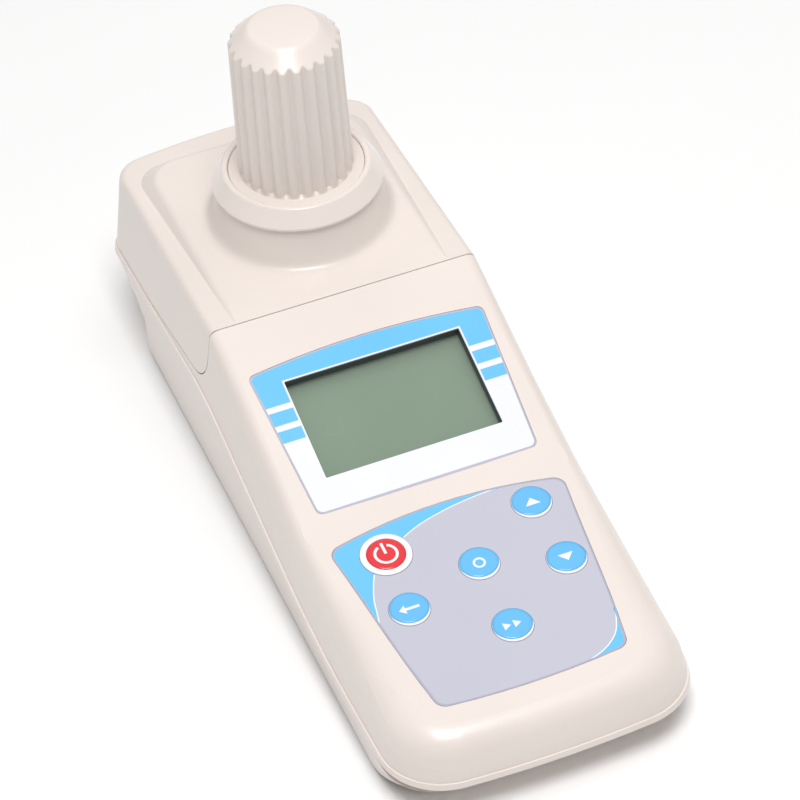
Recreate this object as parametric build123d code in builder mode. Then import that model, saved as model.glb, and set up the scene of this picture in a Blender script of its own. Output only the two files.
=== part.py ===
from build123d import *
import os
from math import cos, pi, radians, sin, tan

# A hand-held urea tester: a sloped case with a display panel and a keypad,
# and a round sample well with a ribbed cap under the raised hood at the rear.
# Millimetres, +Z up, front (keypad) towards -Y, origin under the middle of the case.

os.makedirs("parts", exist_ok=True)

# Case
case_length = 231.0
lip_half_width = 42.4
lip_proud = 0.5
front_y = lip_proud - case_length / 2
rear_y = case_length / 2 - lip_proud
hood_length = 87.1
seam_y = rear_y - hood_length
seam_top_z = 51.3
lip_band = 1.6
body_half_width = lip_half_width - lip_proud
wall = 2.4
panel_wall = 2.9
side_draft = 8.6
foot_height = 1.5
overrun = 1.0
core_share = 0.4
panel_core_share = 0.6

# Lip line, where the upper shell meets the lower shell
lip_front_z = 9.8
lip_bend_y = front_y + 58.0
lip_bend_z = 10.2
lip_peak_y = seam_y + 1.6
lip_peak_z = 27.8
lip_rear_z = 21.6
lip_bend_radius = 250.0
lip_peak_radius = 60.0
lip_tilt = 9.0
lip_seam_z = 26.6

# Front panel: the display face, a shallow valley, the keypad face and the nose
display_slope = 18.0
display_run = 66.5
keypad_slope = 6.0
valley_radius = 25.0
nose_draft = 12.0
nose_bow = 2.8
front_corner_radius = 17.0

# Soft shoulder between the panel and the side walls: place along Y, width and depth, from the front
shoulder_places = ((front_y + 17.0, 10.9, 9.0), (front_y + 41.0, 8.4, 9.0), (front_y + 71.0, 4.6, 9.0),
                   (seam_y - 37.9, 4.0, 9.0), (seam_y - 15.9, 3.8, 5.0), (seam_y, 3.6, 2.5))
skin = 0.06
nose_shoulder = 6.8
nose_taper = 0.15
nose_levels = (0.0, 0.25, 0.5, 0.75, 1.0)
nose_end_y = front_y + 53.0
nose_overlap = 5.0
nose_least_taper = 0.12

# Hood over the sample well
hood_tilt = 3.1
hood_rear_top_z = 47.6
hood_corner_radius = 9.0
hood_bow = 3.6
hood_edge_radius = 2.2
inner_edge_share = 0.5
hood_wall = 2.4
hood_overrun = 12.0
rim_height = 5.3
rim_rear_height = 1.8
rim_rear_start = 37.0
rim_bend_radius = 40.0
seam_corner_radius = 11.0
seam_gap = 0.3
plateau_z = 51.6
plateau_half_width = 30.6
plateau_rear_y = rear_y - 13.0
plateau_flare = 6.0
plateau_corner_radius = 9.0
plateau_drop = 6.0
plateau_ramp = 8.0
plateau_round = 2.8

# Sample well, collar and cap
well_behind_seam = 36.9
well_x = 1.8
well_y = seam_y + well_behind_seam
well_radius = 12.7
well_floor_z = 13.0
well_floor = 2.5
well_wall = 3.3
collar_z = 63.7
collar_edge = 0.6
collar_radius = 23.6
collar_rim_z = 68.9
collar_rim_radius = 20.4
collar_recess_radius = 18.8
collar_recess_depth = 2.2
collar_floor = 2.0
collar_mouth_radius = 13.3
collar_spigot = 5.5
collar_spigot_wall = 1.9
neck_top_radius = 22.4
neck_waist = (24.1, 55.4)
neck_foot_radius = 27.8
neck_bore_radius = 18.6
fit = 0.1
cap_flange_radius = 18.5
cap_flange = 1.0
cap_base_radius = 15.8
cap_top_radius = 15.1
cap_cone_z = 109.8
cap_crown_radius = 9.7
cap_top_z = 114.7
cap_bore_base = 12.9
cap_bore_top = 12.2
cap_roof = 5.0
cap_flutes = 24
flute_radius = 1.15
flute_depth = 0.75
flute_foot = 1.2
seal_thickness = 0.6
seal_width = 3.4
seal_radius = 17.2
collar_rim_round = 0.7
cap_crown_round = 1.0

# Lower shell
lower_half_width = 41.5
lower_front_setback = 11.0
lower_lip_setback = 1.2
lower_rear_setback = 30.7
lower_rear_z = 12.0
lower_knee_y = rear_y - 23.6
lower_knee_z = 16.5
lower_rear_lip_setback = 1.2
lower_wall = 2.0
lower_corner_radius = 14.0
groove_depth = 0.8
groove_height = 1.8
tongue_clearance = 0.35
tongue_wall = 1.5
tongue_reach = 3.0
lower_front_follow = 1.4
lower_lip_follow = 0.5
lower_overrun = 4.0

# Label and window on the display face, distances down the slope from the seam
label_start = 16.6
label_length = 45.1
label_arch = 2.4
label_top_half_width = 33.6
label_bottom_half_width = 31.0
label_recess = 0.5
label_thickness = 0.4
label_corner = 2.0
label_bow = 0.3
window_start = 21.0
window_length = 31.0
window_half_width = 25.0
pane_margin = 2.2
pane_thickness = 1.0

# Display module under the window
bezel_half_width = 28.0
bezel_margin = 5.5
bezel_sheet = 0.6
bezel_depth = 4.8
bezel_view_margin = 0.8
display_glass = 1.8
display_board_thickness = 1.6
display_board_side = 0.4
display_board_end = 2.9
display_screw_x = 25.2
display_screw_gap = 3.1

# Keypad, distances down the slope from the valley
overlay_start = 7.1
overlay_arch = 4.3
overlay_length = 57.2
overlay_bow = 1.5
overlay_top_half_width = 33.0
overlay_upper_side = (31.6, 17.6)
overlay_lower_side = (28.2, 47.6)
overlay_bottom_half_width = 25.6
overlay_thickness = 1.2
overlay_corner = 3.5
overlay_clearance = 0.1
key_radius = 5.35
power_key_radius = 6.84
key_rim = 0.9
key_rim_thickness = 0.65
key_rim_gap = 0.05
key_proud = 0.3
key_clearance = 0.1
key_well_clearance = 0.3
key_edge_round = 0.2
dome_radius = 4.8
dome_height = 0.45
dome_top_radius = 2.64
circuit_thickness = 0.5
circuit_half_width = 28.0
circuit_margin = 6.0
ribbon_half_width = 6.0
ribbon_thickness = 0.3
ribbon_before_board = 2.0
ribbon_lap = 3.0
key_places = {
    "key_power": (-19.5, 13.65),
    "key_upper_right": (21.9, 11.95),
    "key_right": (22.8, 32.55),
    "key_centre": (1.4, 25.65),
    "key_lower_left": (-20.7, 32.55),
    "key_bottom": (1.4, 47.35),
}

# Battery bay: AAA cells side by side over a sliding door
cell_radius = 5.25
cell_length = 43.7
cell_nub_radius = 1.9
cell_nub = 0.8
cell_pitch = 10.8
cell_count = 4
cell_lift = 0.4
bay_side_clearance = 0.8
bay_front_y = front_y + 17.0
bay_wall = 1.5
contact_gap = 1.6
contact_thickness = 0.4
contact_width = 8.0
contact_half_height = 4.2
contact_bend = 3.0
contact_tip = 0.7
contact_inner_tip = 0.5
contact_slant = 0.6
door_plate = 0.9
door_flange = 1.0
door_flange_width = 1.2
door_clearance = 0.15
door_side = 0.4
door_end = 0.6
grip_grooves = 6
grip_pitch = 2.4
grip_radius = 0.9
grip_depth = 0.4
grip_length = 20.0
cell_edge_round = 0.5

# Main board and what stands on it
board_half_width = 28.0
board_length = 61.0
board_before_seam = 7.9
board_rear_y = seam_y - board_before_seam
board_front_y = board_rear_y - board_length
board_middle_y = (board_front_y + board_rear_y) / 2
board_z = 19.0
board_thickness = 1.6
board_post_radius = 3.0
board_post_inset = 4.0
processor_place = (0.0, board_middle_y + 2.5)
processor_size = (14.0, 14.0, 1.4)
amplifier_place = (15.0, board_middle_y + 18.5)
amplifier_size = (5.0, 6.2, 1.6)
converter_place = (-16.0, board_middle_y - 1.5)
converter_size = (6.5, 8.0, 1.4)
regulator_place = (18.0, board_middle_y - 5.5)
regulator_size = (6.5, 6.1, 2.3)
chips = ((processor_place, processor_size), (amplifier_place, amplifier_size),
         (converter_place, converter_size), (regulator_place, regulator_size))
buzzer_place = (-14.0, board_middle_y + 18.5)
buzzer_radius = 6.0
buzzer_height = 5.5
buzzer_hole_radius = 1.0
buzzer_hole_depth = 1.5

# Screws: head radius, head height and shank radius
case_screw = (2.75, 1.8, 1.45)
small_screw = (1.9, 1.2, 0.95)
drive_length = 1.3
drive_width = 0.3
drive_depth = 0.5
screw_clearance = 0.2
pilot_clearance = 0.05
case_screw_x = 33.5
case_screw_length = 10.0
case_screw_seat = 3.0
small_screw_length = 5.0
board_screw_grip = 4.4
display_screw_grip = 5.0
block_screw_grip = 5.0
block_boss_radius = 3.0
display_boss_radius = 2.6
post_radius = 4.4
boss_radius = 3.3
front_post = (front_y + 43.0, 12.0)
middle_post = (seam_y - 15.9, 22.0)
hood_posts = ((seam_y + 12.1, 22.0), (seam_y + 32.1, 22.0))

# Well block: its flange under the hood and its two optical arms
block_flange_z = 38.5
block_flange = 3.0
block_flange_radius = 26.4
block_screw_circle = 22.6
block_screw_angles = (30.0, 150.0, 270.0)
beam_z = 26.0
beam_radius = 1.5
arm_end = 24.0
arm_half_depth = 9.5
arm_half_height = 6.5
arm_floor_x = 16.0
source_bore = 3.05
detector_bore = 4.05
lens_thickness = 2.0
lens_round = 1.2
filter_thickness = 2.0
optic_clearance = 0.05
led_radius = 2.5
led_flange = 1.0
led_length = 5.2
led_tip_round = 2.25
photodiode_radius = 3.6
photodiode_flange = 0.8
photodiode_length = 4.0
optic_board_thickness = 1.6
optic_screw_y = 7.0

# Rubber feet
foot_radius = 4.5
foot_sink = 0.6
foot_x = 33.0
foot_front_y = front_y + 23.0
foot_rear_y = rear_y - 41.0
foot_chamfer = 0.5

# Worked-out places
far = 90.0
rise = sin(radians(display_slope))
run = cos(radians(display_slope))
display_tan = tan(radians(display_slope))
keypad_tan = tan(radians(keypad_slope))
nose_tan = tan(radians(nose_draft))
draft_tan = tan(radians(side_draft))
valley_y = seam_y - display_run * run
valley_z = seam_top_z - display_run * rise
collar_floor_z = collar_rim_z - collar_recess_depth
cap_flange_z = collar_floor_z + seal_thickness
block_radius = well_radius + well_wall
cell_span = cell_count * cell_pitch / 2
bay_half_width = cell_span + bay_side_clearance
bay_length = cell_length + cell_nub + 2 * contact_gap
bay_rear_y = bay_front_y + bay_length
hood_top_tan = (seam_top_z - hood_rear_top_z) / hood_length
hood_edge_tan = (lip_peak_z - lip_rear_z) / (rear_y - lip_peak_y)
display_plane = Plane((0, seam_y, seam_top_z), (1, 0, 0), (0, -rise, run))
keypad_up = (0, -sin(radians(keypad_slope)), cos(radians(keypad_slope)))
keypad_plane = Plane((0, valley_y, valley_z), (1, 0, 0), keypad_up)
lip_up = (0, -sin(radians(lip_tilt)), cos(radians(lip_tilt)))
lip_plane = Plane((0, seam_y, lip_seam_z), (1, 0, 0), lip_up)
hood_plane = Plane((0, seam_y, lip_seam_z), (1, 0, 0), (0, sin(radians(hood_tilt)), cos(radians(hood_tilt))))
foot_places = [(x, y) for x in (-foot_x, foot_x) for y in (foot_front_y, foot_rear_y)]
front_posts = [(x, *front_post) for x in (-case_screw_x, case_screw_x)]
front_posts += [(x, *middle_post) for x in (-case_screw_x, case_screw_x)]
rear_posts = [(x, *post) for x in (-case_screw_x, case_screw_x) for post in hood_posts]


def cross_plane(y):
    """A plane across the case: its own x along X, its own y along Z."""
    return Plane((0, y, 0), (1, 0, 0), (0, -1, 0))


def slab(y0, y1):
    """Everything between two places along the case."""
    with BuildPart() as piece:
        with BuildSketch(cross_plane(y1)):
            Rectangle(4 * far, 4 * far)
        extrude(amount=y1 - y0)
    return piece.part


def valley(depth):
    """The sharp valley point of the panel, lowered by a depth square to both faces."""
    keypad_drop = depth / cos(radians(keypad_slope))
    shift = (depth / run - keypad_drop) / (display_tan - keypad_tan)
    return valley_y + shift, valley_z + shift * keypad_tan - keypad_drop


def panel_z(y, depth=0.0):
    """Height of the sharp-cornered panel line at y, lowered by a depth."""
    corner_y, corner_z = valley(depth)
    slope = display_tan if y > corner_y else keypad_tan
    return corner_z + (y - corner_y) * slope


def wall_x(y, z, inset):
    """Half-width of the drafted side wall in front of the seam."""
    height = lip_up[1] * (y - seam_y) + lip_up[2] * (z - lip_seam_z)
    return body_half_width - height * draft_tan - inset


def shoulder(y):
    """Width and depth of the soft shoulder at y."""
    if y <= shoulder_places[0][0]:
        return shoulder_places[0][1:]
    for (y0, *size0), (y1, *size1) in zip(shoulder_places, shoulder_places[1:]):
        if y <= y1:
            return tuple(a + (b - a) * (y - y0) / (y1 - y0) for a, b in zip(size0, size1))
    return shoulder_places[-1][1:]


def soft_nose(inset, depth):
    """Everything inside the soft edge that runs round the nose, with all that lies behind and below it."""
    bend_y, width, drop = shoulder_places[0]
    softness = 1 - inset / width
    with BuildPart() as form:
        for level in nose_levels:
            drawn_in = softness * level ** 2
            down = depth + softness * drop * (1 - level) ** 2 - skin
            plane_y, plane_z = valley(down)
            nose_y = front_y - lip_front_z * nose_tan + inset - skin
            tip_z = (plane_z + (nose_y - plane_y) * keypad_tan) / (1 - nose_tan * keypad_tan)
            tip_y = nose_y + tip_z * nose_tan + nose_shoulder * drawn_in
            bend_z = plane_z + (bend_y - plane_y) * keypad_tan
            bend_x = wall_x(bend_y, bend_z, inset) + skin - width * drawn_in
            tip_x = bend_x - (bend_y - tip_y) * nose_taper * drawn_in
            taper = nose_taper * max(drawn_in, nose_least_taper)
            end_x = bend_x + (nose_end_y + nose_overlap - bend_y) * taper
            tip = (tip_y - plane_y) / cos(radians(keypad_slope))
            end = (nose_end_y + nose_overlap - plane_y) / cos(radians(keypad_slope))
            with BuildSketch(Plane((0, plane_y, plane_z), (1, 0, 0), keypad_up)):
                with BuildLine():
                    ThreePointArc((-tip_x, tip + nose_bow), (0, tip), (tip_x, tip + nose_bow))
                    Polyline((tip_x, tip + nose_bow), (end_x, end), (-end_x, end), (-tip_x, tip + nose_bow))
                face = make_face()
                fillet(face.vertices().group_by(Axis.Y)[0],
                       front_corner_radius - inset - (width + nose_shoulder) / 2 * drawn_in)
        loft()
        plane_y, plane_z = valley(depth + softness * drop - skin)
        with BuildSketch(Plane((0, plane_y, plane_z), (1, 0, 0), keypad_up)):
            Rectangle(4 * far, 4 * far)
        extrude(amount=-far)
        add(slab(nose_end_y, 2 * far))
    return form.part


def front_block(inset=0.0, depth=0.0):
    """Solid form of the case in front of the seam, drawn in by a wall and a panel depth."""
    lean = tan(radians(nose_draft + lip_tilt))
    tilt_sin = sin(radians(lip_tilt))
    tilt_cos = cos(radians(lip_tilt))
    foot_along = (front_y - seam_y) * tilt_cos + (lip_front_z - lip_seam_z) * tilt_sin
    foot_up = (lip_front_z - lip_seam_z) * tilt_cos - (front_y - seam_y) * tilt_sin
    with BuildPart() as block:
        for height in (-25.0, 50.0):
            half_width = body_half_width - height * draft_tan - inset
            nose = foot_along + (height - foot_up) * lean + inset
            with BuildSketch(lip_plane.offset(height)):
                with BuildLine():
                    ThreePointArc((-half_width, nose + nose_bow), (0, nose), (half_width, nose + nose_bow))
                    Polyline((half_width, nose + nose_bow), (half_width, far), (-half_width, far),
                             (-half_width, nose + nose_bow))
                face = make_face()
                fillet(face.vertices().group_by(Axis.Y)[0], front_corner_radius - inset)
        loft(ruled=True)
        nose_y = front_y - lip_front_z * nose_tan + inset - skin
        corner_y, corner_z = valley(depth)
        tip_z = (corner_z + (nose_y - corner_y) * keypad_tan) / (1 - nose_tan * keypad_tan)
        rear_top = (seam_y + far, panel_z(seam_y + far, depth))
        with BuildSketch(Plane.YZ):
            with BuildLine():
                FilletPolyline((nose_y + tip_z * nose_tan, tip_z), (corner_y, corner_z), rear_top,
                               radius=valley_radius)
                Polyline(rear_top, (seam_y + far, 0), (nose_y, 0), (nose_y + tip_z * nose_tan, tip_z))
            make_face()
        extrude(amount=far, both=True, mode=Mode.INTERSECT)
    valley_reach = valley_radius * tan(radians((display_slope - keypad_slope) / 2)) + 1.0
    softness = 1 - inset / shoulder_places[0][1]
    stations = [seam_y + far, front_y - 5.0, valley_y + valley_reach, valley_y - valley_reach]
    stations += [place[0] for place in shoulder_places]
    with BuildPart() as shoulders:
        for y in sorted(stations):
            top = panel_z(y, depth) + skin
            width, drop = (size * softness for size in shoulder(y))
            edge = wall_x(y, top, inset) + skin
            start = wall_x(y, top - drop, inset) + skin
            foot = wall_x(y, -10.0, inset) + skin
            with BuildSketch(cross_plane(y)):
                with BuildLine():
                    Line((-foot, -10), (foot, -10))
                    Line((foot, -10), (start, top - drop))
                    Bezier((start, top - drop), (edge, top), (edge - width, top))
                    Line((edge - width, top), (width - edge, top))
                    Bezier((width - edge, top), (-edge, top), (-start, top - drop))
                    Line((-start, top - drop), (-foot, -10))
                make_face()
        loft(ruled=True)
    with BuildPart() as form:
        add(block.part)
        add(shoulders.part, mode=Mode.INTERSECT)
        add(soft_nose(inset, depth), mode=Mode.INTERSECT)
    return form.part


def hood_block(inset=0.0, depth=0.0):
    """Solid form of the case behind the seam, without the plateau, drawn in by a wall."""
    with BuildPart() as block:
        for height in (-15.0, 40.0):
            half_width = body_half_width - height * draft_tan - inset
            rear = hood_length - height * sin(radians(hood_tilt)) - inset
            with BuildSketch(hood_plane.offset(height)):
                with BuildLine():
                    ThreePointArc((-half_width, rear - hood_bow), (0, rear), (half_width, rear - hood_bow))
                    Polyline((half_width, rear - hood_bow), (half_width, -hood_overrun),
                             (-half_width, -hood_overrun), (-half_width, rear - hood_bow))
                face = make_face()
                fillet(face.vertices().group_by(Axis.Y)[-1], hood_corner_radius - inset)
        loft(ruled=True)
        with BuildSketch(Plane.YZ):
            with BuildLine():
                Polyline((seam_y - far, 0), (rear_y + far, 0),
                         (rear_y + far, hood_rear_top_z - depth - far * hood_top_tan),
                         (seam_y - far, seam_top_z - depth + far * hood_top_tan), close=True)
            make_face()
        extrude(amount=far, both=True, mode=Mode.INTERSECT)
        top = block.faces().sort_by(Axis.Z)[-1]
        fillet(top.edges().sort_by(Axis.Y)[1:], hood_edge_radius - inset * inner_edge_share)
    return block.part


def side_region(points, radii, close_points):
    """A slab across the case whose side view is a rounded line closed by straight ones."""
    with BuildPart() as region:
        with BuildSketch(Plane.YZ):
            with BuildLine():
                FilletPolyline(*points, radius=radii)
                Polyline(points[-1], *close_points, points[0])
            make_face()
        extrude(amount=far, both=True)
    return region.part


def above_lip(raised, top=far * 2):
    """Everything above the lip line, raised by some height."""
    rear = rear_y + far
    points = ((front_y - far, lip_front_z + raised), (lip_bend_y, lip_bend_z + raised),
              (lip_peak_y, lip_peak_z + raised), (rear, lip_rear_z + raised - far * hood_edge_tan))
    return side_region(points, (lip_bend_radius, lip_peak_radius), ((rear, top), (front_y - far, top)))


def hood_region(gap):
    """Everything inside the hood's outline in the side view, shrunk by a gap."""
    rear = rear_y + far
    bend_y = rear_y - rim_rear_start
    rear_edge_z = lip_rear_z + rim_rear_height + gap
    points = ((seam_y + gap, 2 * far), (seam_y + gap, lip_peak_z + rim_height + gap),
              (bend_y, rear_edge_z + rim_rear_start * hood_edge_tan),
              (rear, rear_edge_z - far * hood_edge_tan))
    return side_region(points, (seam_corner_radius - gap, rim_bend_radius), ((rear, 2 * far),))


def lower_form(inset=0.0):
    """Solid form of the lower shell below the lip, drawn in by a wall."""
    front_foot = front_y + lower_front_setback
    front_slope = (lower_front_setback - lower_lip_setback) / (lip_front_z - foot_height)
    half_width = lower_half_width - inset
    rear_lip_y = rear_y - lower_rear_lip_setback
    with BuildPart() as form:
        for z in (foot_height + inset, lip_peak_z + lower_overrun):
            front = front_foot - (z - foot_height) * front_slope + inset * lower_front_follow
            rear = rear_lip_y - inset
            with BuildSketch(Plane.XY.offset(z)):
                with BuildLine():
                    Polyline((half_width, rear - hood_bow), (half_width, front), (-half_width, front),
                             (-half_width, rear - hood_bow))
                    ThreePointArc((-half_width, rear - hood_bow), (0, rear), (half_width, rear - hood_bow))
                face = make_face()
                fillet(face.vertices().group_by(Axis.Y)[0], lower_corner_radius - inset)
                fillet(face.vertices().group_by(Axis.Y)[-1], hood_corner_radius - inset)
        loft(ruled=True)
        rear_wall = rear_y - lower_rear_setback - inset
        with BuildSketch(Plane.YZ):
            with BuildLine():
                Polyline((front_y - far, 0), (rear_wall, 0), (rear_wall, lower_rear_z + inset),
                         (lower_knee_y - inset, lower_knee_z + inset),
                         (rear_lip_y, lip_rear_z + inset * lower_lip_follow),
                         (rear_lip_y, far), (front_y - far, far), close=True)
            make_face()
        extrude(amount=far, both=True, mode=Mode.INTERSECT)
    return form.part


def label_face(start, length, arch, bow, top_half_width, sides, bottom_half_width, corner, grow=0.0):
    """Outline of a stuck-on panel: arched top, tapering sides and a bowed bottom edge."""
    top = -start + grow
    bottom = -start - length - grow
    top_x = top_half_width + grow
    bottom_x = bottom_half_width + grow
    right = [(x + grow, -start - along) for x, along in sides]
    left = [(-x, y) for x, y in right]
    with BuildSketch() as face:
        with BuildLine():
            ThreePointArc((-top_x, top), (0, top + arch), (top_x, top))
            ThreePointArc((-bottom_x, bottom), (0, bottom - bow), (bottom_x, bottom))
            if sides:
                Spline((top_x, top), *right, (bottom_x, bottom))
                Spline((-top_x, top), *left, (-bottom_x, bottom))
            else:
                Line((top_x, top), (bottom_x, bottom))
                Line((-top_x, top), (-bottom_x, bottom))
        make_face()
        fillet(face.vertices(), corner)
    return face.sketch


def label_outline(grow=0.0):
    return label_face(label_start, label_length, label_arch, label_bow, label_top_half_width, (),
                      label_bottom_half_width, label_corner, grow)


def overlay_outline(grow=0.0):
    sides = (overlay_upper_side, overlay_lower_side)
    sides = [(x, along - overlay_start) for x, along in sides]
    return label_face(overlay_start, overlay_length, overlay_arch, overlay_bow, overlay_top_half_width, sides,
                      overlay_bottom_half_width, overlay_corner, grow)


def key_size(name):
    return power_key_radius if name == "key_power" else key_radius


def screws_at(places, size, length):
    """Pan-head screws, each place being the seat of the head and the plane's Z its drive end."""
    head_radius, head_height, shank_radius = size
    with BuildPart() as group:
        for place in places:
            with BuildSketch(place):
                Circle(head_radius)
            extrude(amount=head_height)
            with BuildSketch(place.offset(head_height)):
                Rectangle(head_radius * drive_length, head_radius * drive_width)
                Rectangle(head_radius * drive_width, head_radius * drive_length)
            extrude(amount=-head_height * drive_depth, mode=Mode.SUBTRACT)
            with BuildSketch(place):
                Circle(shank_radius)
            extrude(amount=-length)
    return group.part


def post_holes(places):
    """Clearance bore and head pocket of each case screw, cut from below."""
    head_radius, head_height, shank_radius = case_screw
    with BuildPart() as holes:
        for x, y, top in places:
            with Locations((x, y, 0)):
                Cylinder(head_radius + screw_clearance * 2, top - case_screw_seat,
                         align=(Align.CENTER, Align.CENTER, Align.MIN))
                Cylinder(shank_radius + screw_clearance, top + overrun,
                         align=(Align.CENTER, Align.CENTER, Align.MIN))
    return holes.part


def boss_holes(places):
    with BuildPart() as holes:
        for x, y, bottom in places:
            with BuildSketch(Plane.XY.offset(bottom - overrun)):
                with Locations((x, y)):
                    Circle(case_screw[2] + pilot_clearance)
            extrude(amount=case_screw_length + overrun)
    return holes.part


def plateau(inset=0.0, depth=0.0):
    """Raised flat round the collar, fading out at the seam."""
    with BuildPart() as form:
        for z, flare in ((plateau_z - plateau_drop, plateau_flare), (plateau_z - depth, 0.0)):
            half_width = plateau_half_width + flare - inset
            with BuildSketch(Plane.XY.offset(z)):
                with Locations((0, seam_y - 5)):
                    face = Rectangle(2 * half_width, plateau_rear_y + flare - inset - seam_y + 5,
                                     align=(Align.CENTER, Align.MIN))
                fillet(face.vertices().group_by(Axis.Y)[-1], plateau_corner_radius - inset)
        loft(ruled=True)
        fillet(form.faces().sort_by(Axis.Z)[-1].edges(), plateau_round - inset)
        with BuildSketch(Plane.YZ):
            with BuildLine():
                Polyline((seam_y - 5, 0), (rear_y, 0), (rear_y, plateau_z + 5),
                         (seam_y + plateau_ramp, plateau_z + 5), (seam_y + plateau_ramp, plateau_z - depth),
                         (seam_y, seam_top_z - depth), (seam_y - 5, seam_top_z - depth), close=True)
            make_face()
        extrude(amount=far, both=True, mode=Mode.INTERSECT)
    return form.part


# Shared forms
front_solid = front_block()
front_hollow = front_block(wall, panel_wall)
hood_solid = hood_block()
hood_hollow = hood_block(hood_wall, hood_wall)
upper_region = above_lip(0)
hood_cut = hood_region(-seam_gap / 2)
before_seam = slab(-2 * far, seam_y - seam_gap / 2)
behind_seam = slab(seam_y - seam_gap / 2, 2 * far)

with BuildPart() as bead_region:
    add(upper_region)
    add(above_lip(lip_band), mode=Mode.SUBTRACT)

with BuildPart() as rear_hollow:
    add(hood_hollow)
    add(slab(seam_y - overrun, 2 * far), mode=Mode.INTERSECT)

with BuildPart() as case_hollow:
    add(front_hollow)
    add(before_seam, mode=Mode.INTERSECT)
    add(rear_hollow.part)

with BuildPart() as front_bead:
    add(front_block(-lip_proud))
    add(before_seam, mode=Mode.INTERSECT)
    add(bead_region.part, mode=Mode.INTERSECT)

with BuildPart() as rear_bead:
    add(hood_block(-lip_proud))
    add(behind_seam, mode=Mode.INTERSECT)
    add(bead_region.part, mode=Mode.INTERSECT)

with BuildPart() as rim:
    add(hood_solid)
    add(behind_seam, mode=Mode.INTERSECT)
    add(upper_region, mode=Mode.INTERSECT)
    add(hood_cut, mode=Mode.SUBTRACT)

# Pockets of the label and the keypad overlay, the window opening and the key wells
with BuildPart() as panel_cuts:
    for plane, outline, depth in ((display_plane, label_outline, label_recess),
                                  (keypad_plane, overlay_outline, overlay_thickness)):
        with BuildSketch(plane.offset(-depth)):
            add(outline(overlay_clearance))
        extrude(amount=depth + 3)
    with BuildSketch(display_plane):
        with Locations((0, -window_start - window_length / 2)):
            Rectangle(2 * window_half_width, window_length)
    extrude(amount=-2 * panel_wall)
    with BuildSketch(keypad_plane):
        for name, (x, along) in key_places.items():
            with Locations((x, -along)):
                Circle(key_size(name) + key_rim + key_well_clearance)
    extrude(amount=-1.5 * panel_wall)

# Places of the display module's four screws
bezel_bottom = panel_wall + pane_thickness + bezel_depth
display_screw_rows = (window_start - bezel_margin - display_screw_gap,
                      window_start + window_length + bezel_margin + display_screw_gap)
display_screw_places = [(x, -along) for x in (-display_screw_x, display_screw_x)
                        for along in display_screw_rows]

with BuildPart() as upper_bosses:
    for x, y, bottom in front_posts:
        with BuildSketch(Plane.XY.offset(bottom)):
            with Locations((x, y)):
                Circle(boss_radius)
        extrude(amount=seam_top_z)
    with BuildSketch(display_plane.offset(-bezel_bottom)):
        with Locations(*display_screw_places):
            Circle(display_boss_radius)
    extrude(amount=bezel_bottom)
    add(front_block(wall * core_share, panel_wall * panel_core_share), mode=Mode.INTERSECT)

# Tongue that closes the seam from inside and locates the hood
with BuildPart() as tongue:
    add(front_block(wall + tongue_clearance, panel_wall + tongue_clearance))
    add(front_block(wall + tongue_clearance + tongue_wall, panel_wall + tongue_clearance + tongue_wall),
        mode=Mode.SUBTRACT)
    add(slab(seam_y - tongue_reach, seam_y + tongue_reach), mode=Mode.INTERSECT)
    add(above_lip(rim_height), mode=Mode.INTERSECT)

with BuildPart() as tongue_root:
    add(front_solid)
    add(front_block(wall + tongue_clearance + tongue_wall, panel_wall + tongue_clearance + tongue_wall),
        mode=Mode.SUBTRACT)
    add(slab(seam_y - tongue_reach, seam_y - tongue_reach / 2), mode=Mode.INTERSECT)
    add(above_lip(rim_height), mode=Mode.INTERSECT)

# Upper shell: panel and walls, with the rim that runs on round the hood
with BuildPart() as upper_shell:
    add(front_solid)
    add(before_seam, mode=Mode.INTERSECT)
    add(upper_region, mode=Mode.INTERSECT)
    add(rim.part)
    add(front_bead.part)
    add(rear_bead.part)
    add(case_hollow.part, mode=Mode.SUBTRACT)
    add(tongue.part)
    add(tongue_root.part)
    add(upper_bosses.part)
    add(panel_cuts.part, mode=Mode.SUBTRACT)
    add(boss_holes(front_posts), mode=Mode.SUBTRACT)
    with BuildSketch(display_plane.offset(-bezel_bottom)):
        with Locations(*display_screw_places):
            Circle(small_screw[2] + pilot_clearance)
    extrude(amount=display_screw_grip, mode=Mode.SUBTRACT)
upper_shell.part.label = "upper_shell"
export_step(upper_shell.part, "parts/upper_shell.step")

# Hood: cover over the well, with the raised flat and the neck of the collar
with BuildPart() as neck:
    with BuildSketch(Plane((well_x, well_y, 0), (1, 0, 0), (0, -1, 0))):
        with BuildLine():
            Spline((neck_top_radius, collar_z), neck_waist, (neck_foot_radius, plateau_z),
                   tangents=((0.15, -1), (1, 0)))
            Polyline((neck_foot_radius, plateau_z), (neck_foot_radius, plateau_z - overrun),
                     (0, plateau_z - overrun), (0, collar_z), (neck_top_radius, collar_z))
        make_face()
    revolve(axis=Axis((well_x, well_y, 0), (0, 0, 1)))

block_bosses = [(well_x + block_screw_circle * cos(radians(a)), well_y + block_screw_circle * sin(radians(a)))
                for a in block_screw_angles]

with BuildPart() as hood_core:
    add(hood_block(hood_wall * core_share, hood_wall * core_share))
    add(plateau(hood_wall * core_share, hood_wall * core_share))

with BuildPart() as hood_bosses:
    for x, y, bottom in rear_posts:
        with BuildSketch(Plane.XY.offset(bottom)):
            with Locations((x, y)):
                Circle(boss_radius)
        extrude(amount=seam_top_z)
    with BuildSketch(Plane.XY.offset(block_flange_z + block_flange)):
        with Locations(*block_bosses):
            Circle(block_boss_radius)
    extrude(amount=seam_top_z)
    add(hood_core.part, mode=Mode.INTERSECT)

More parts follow.
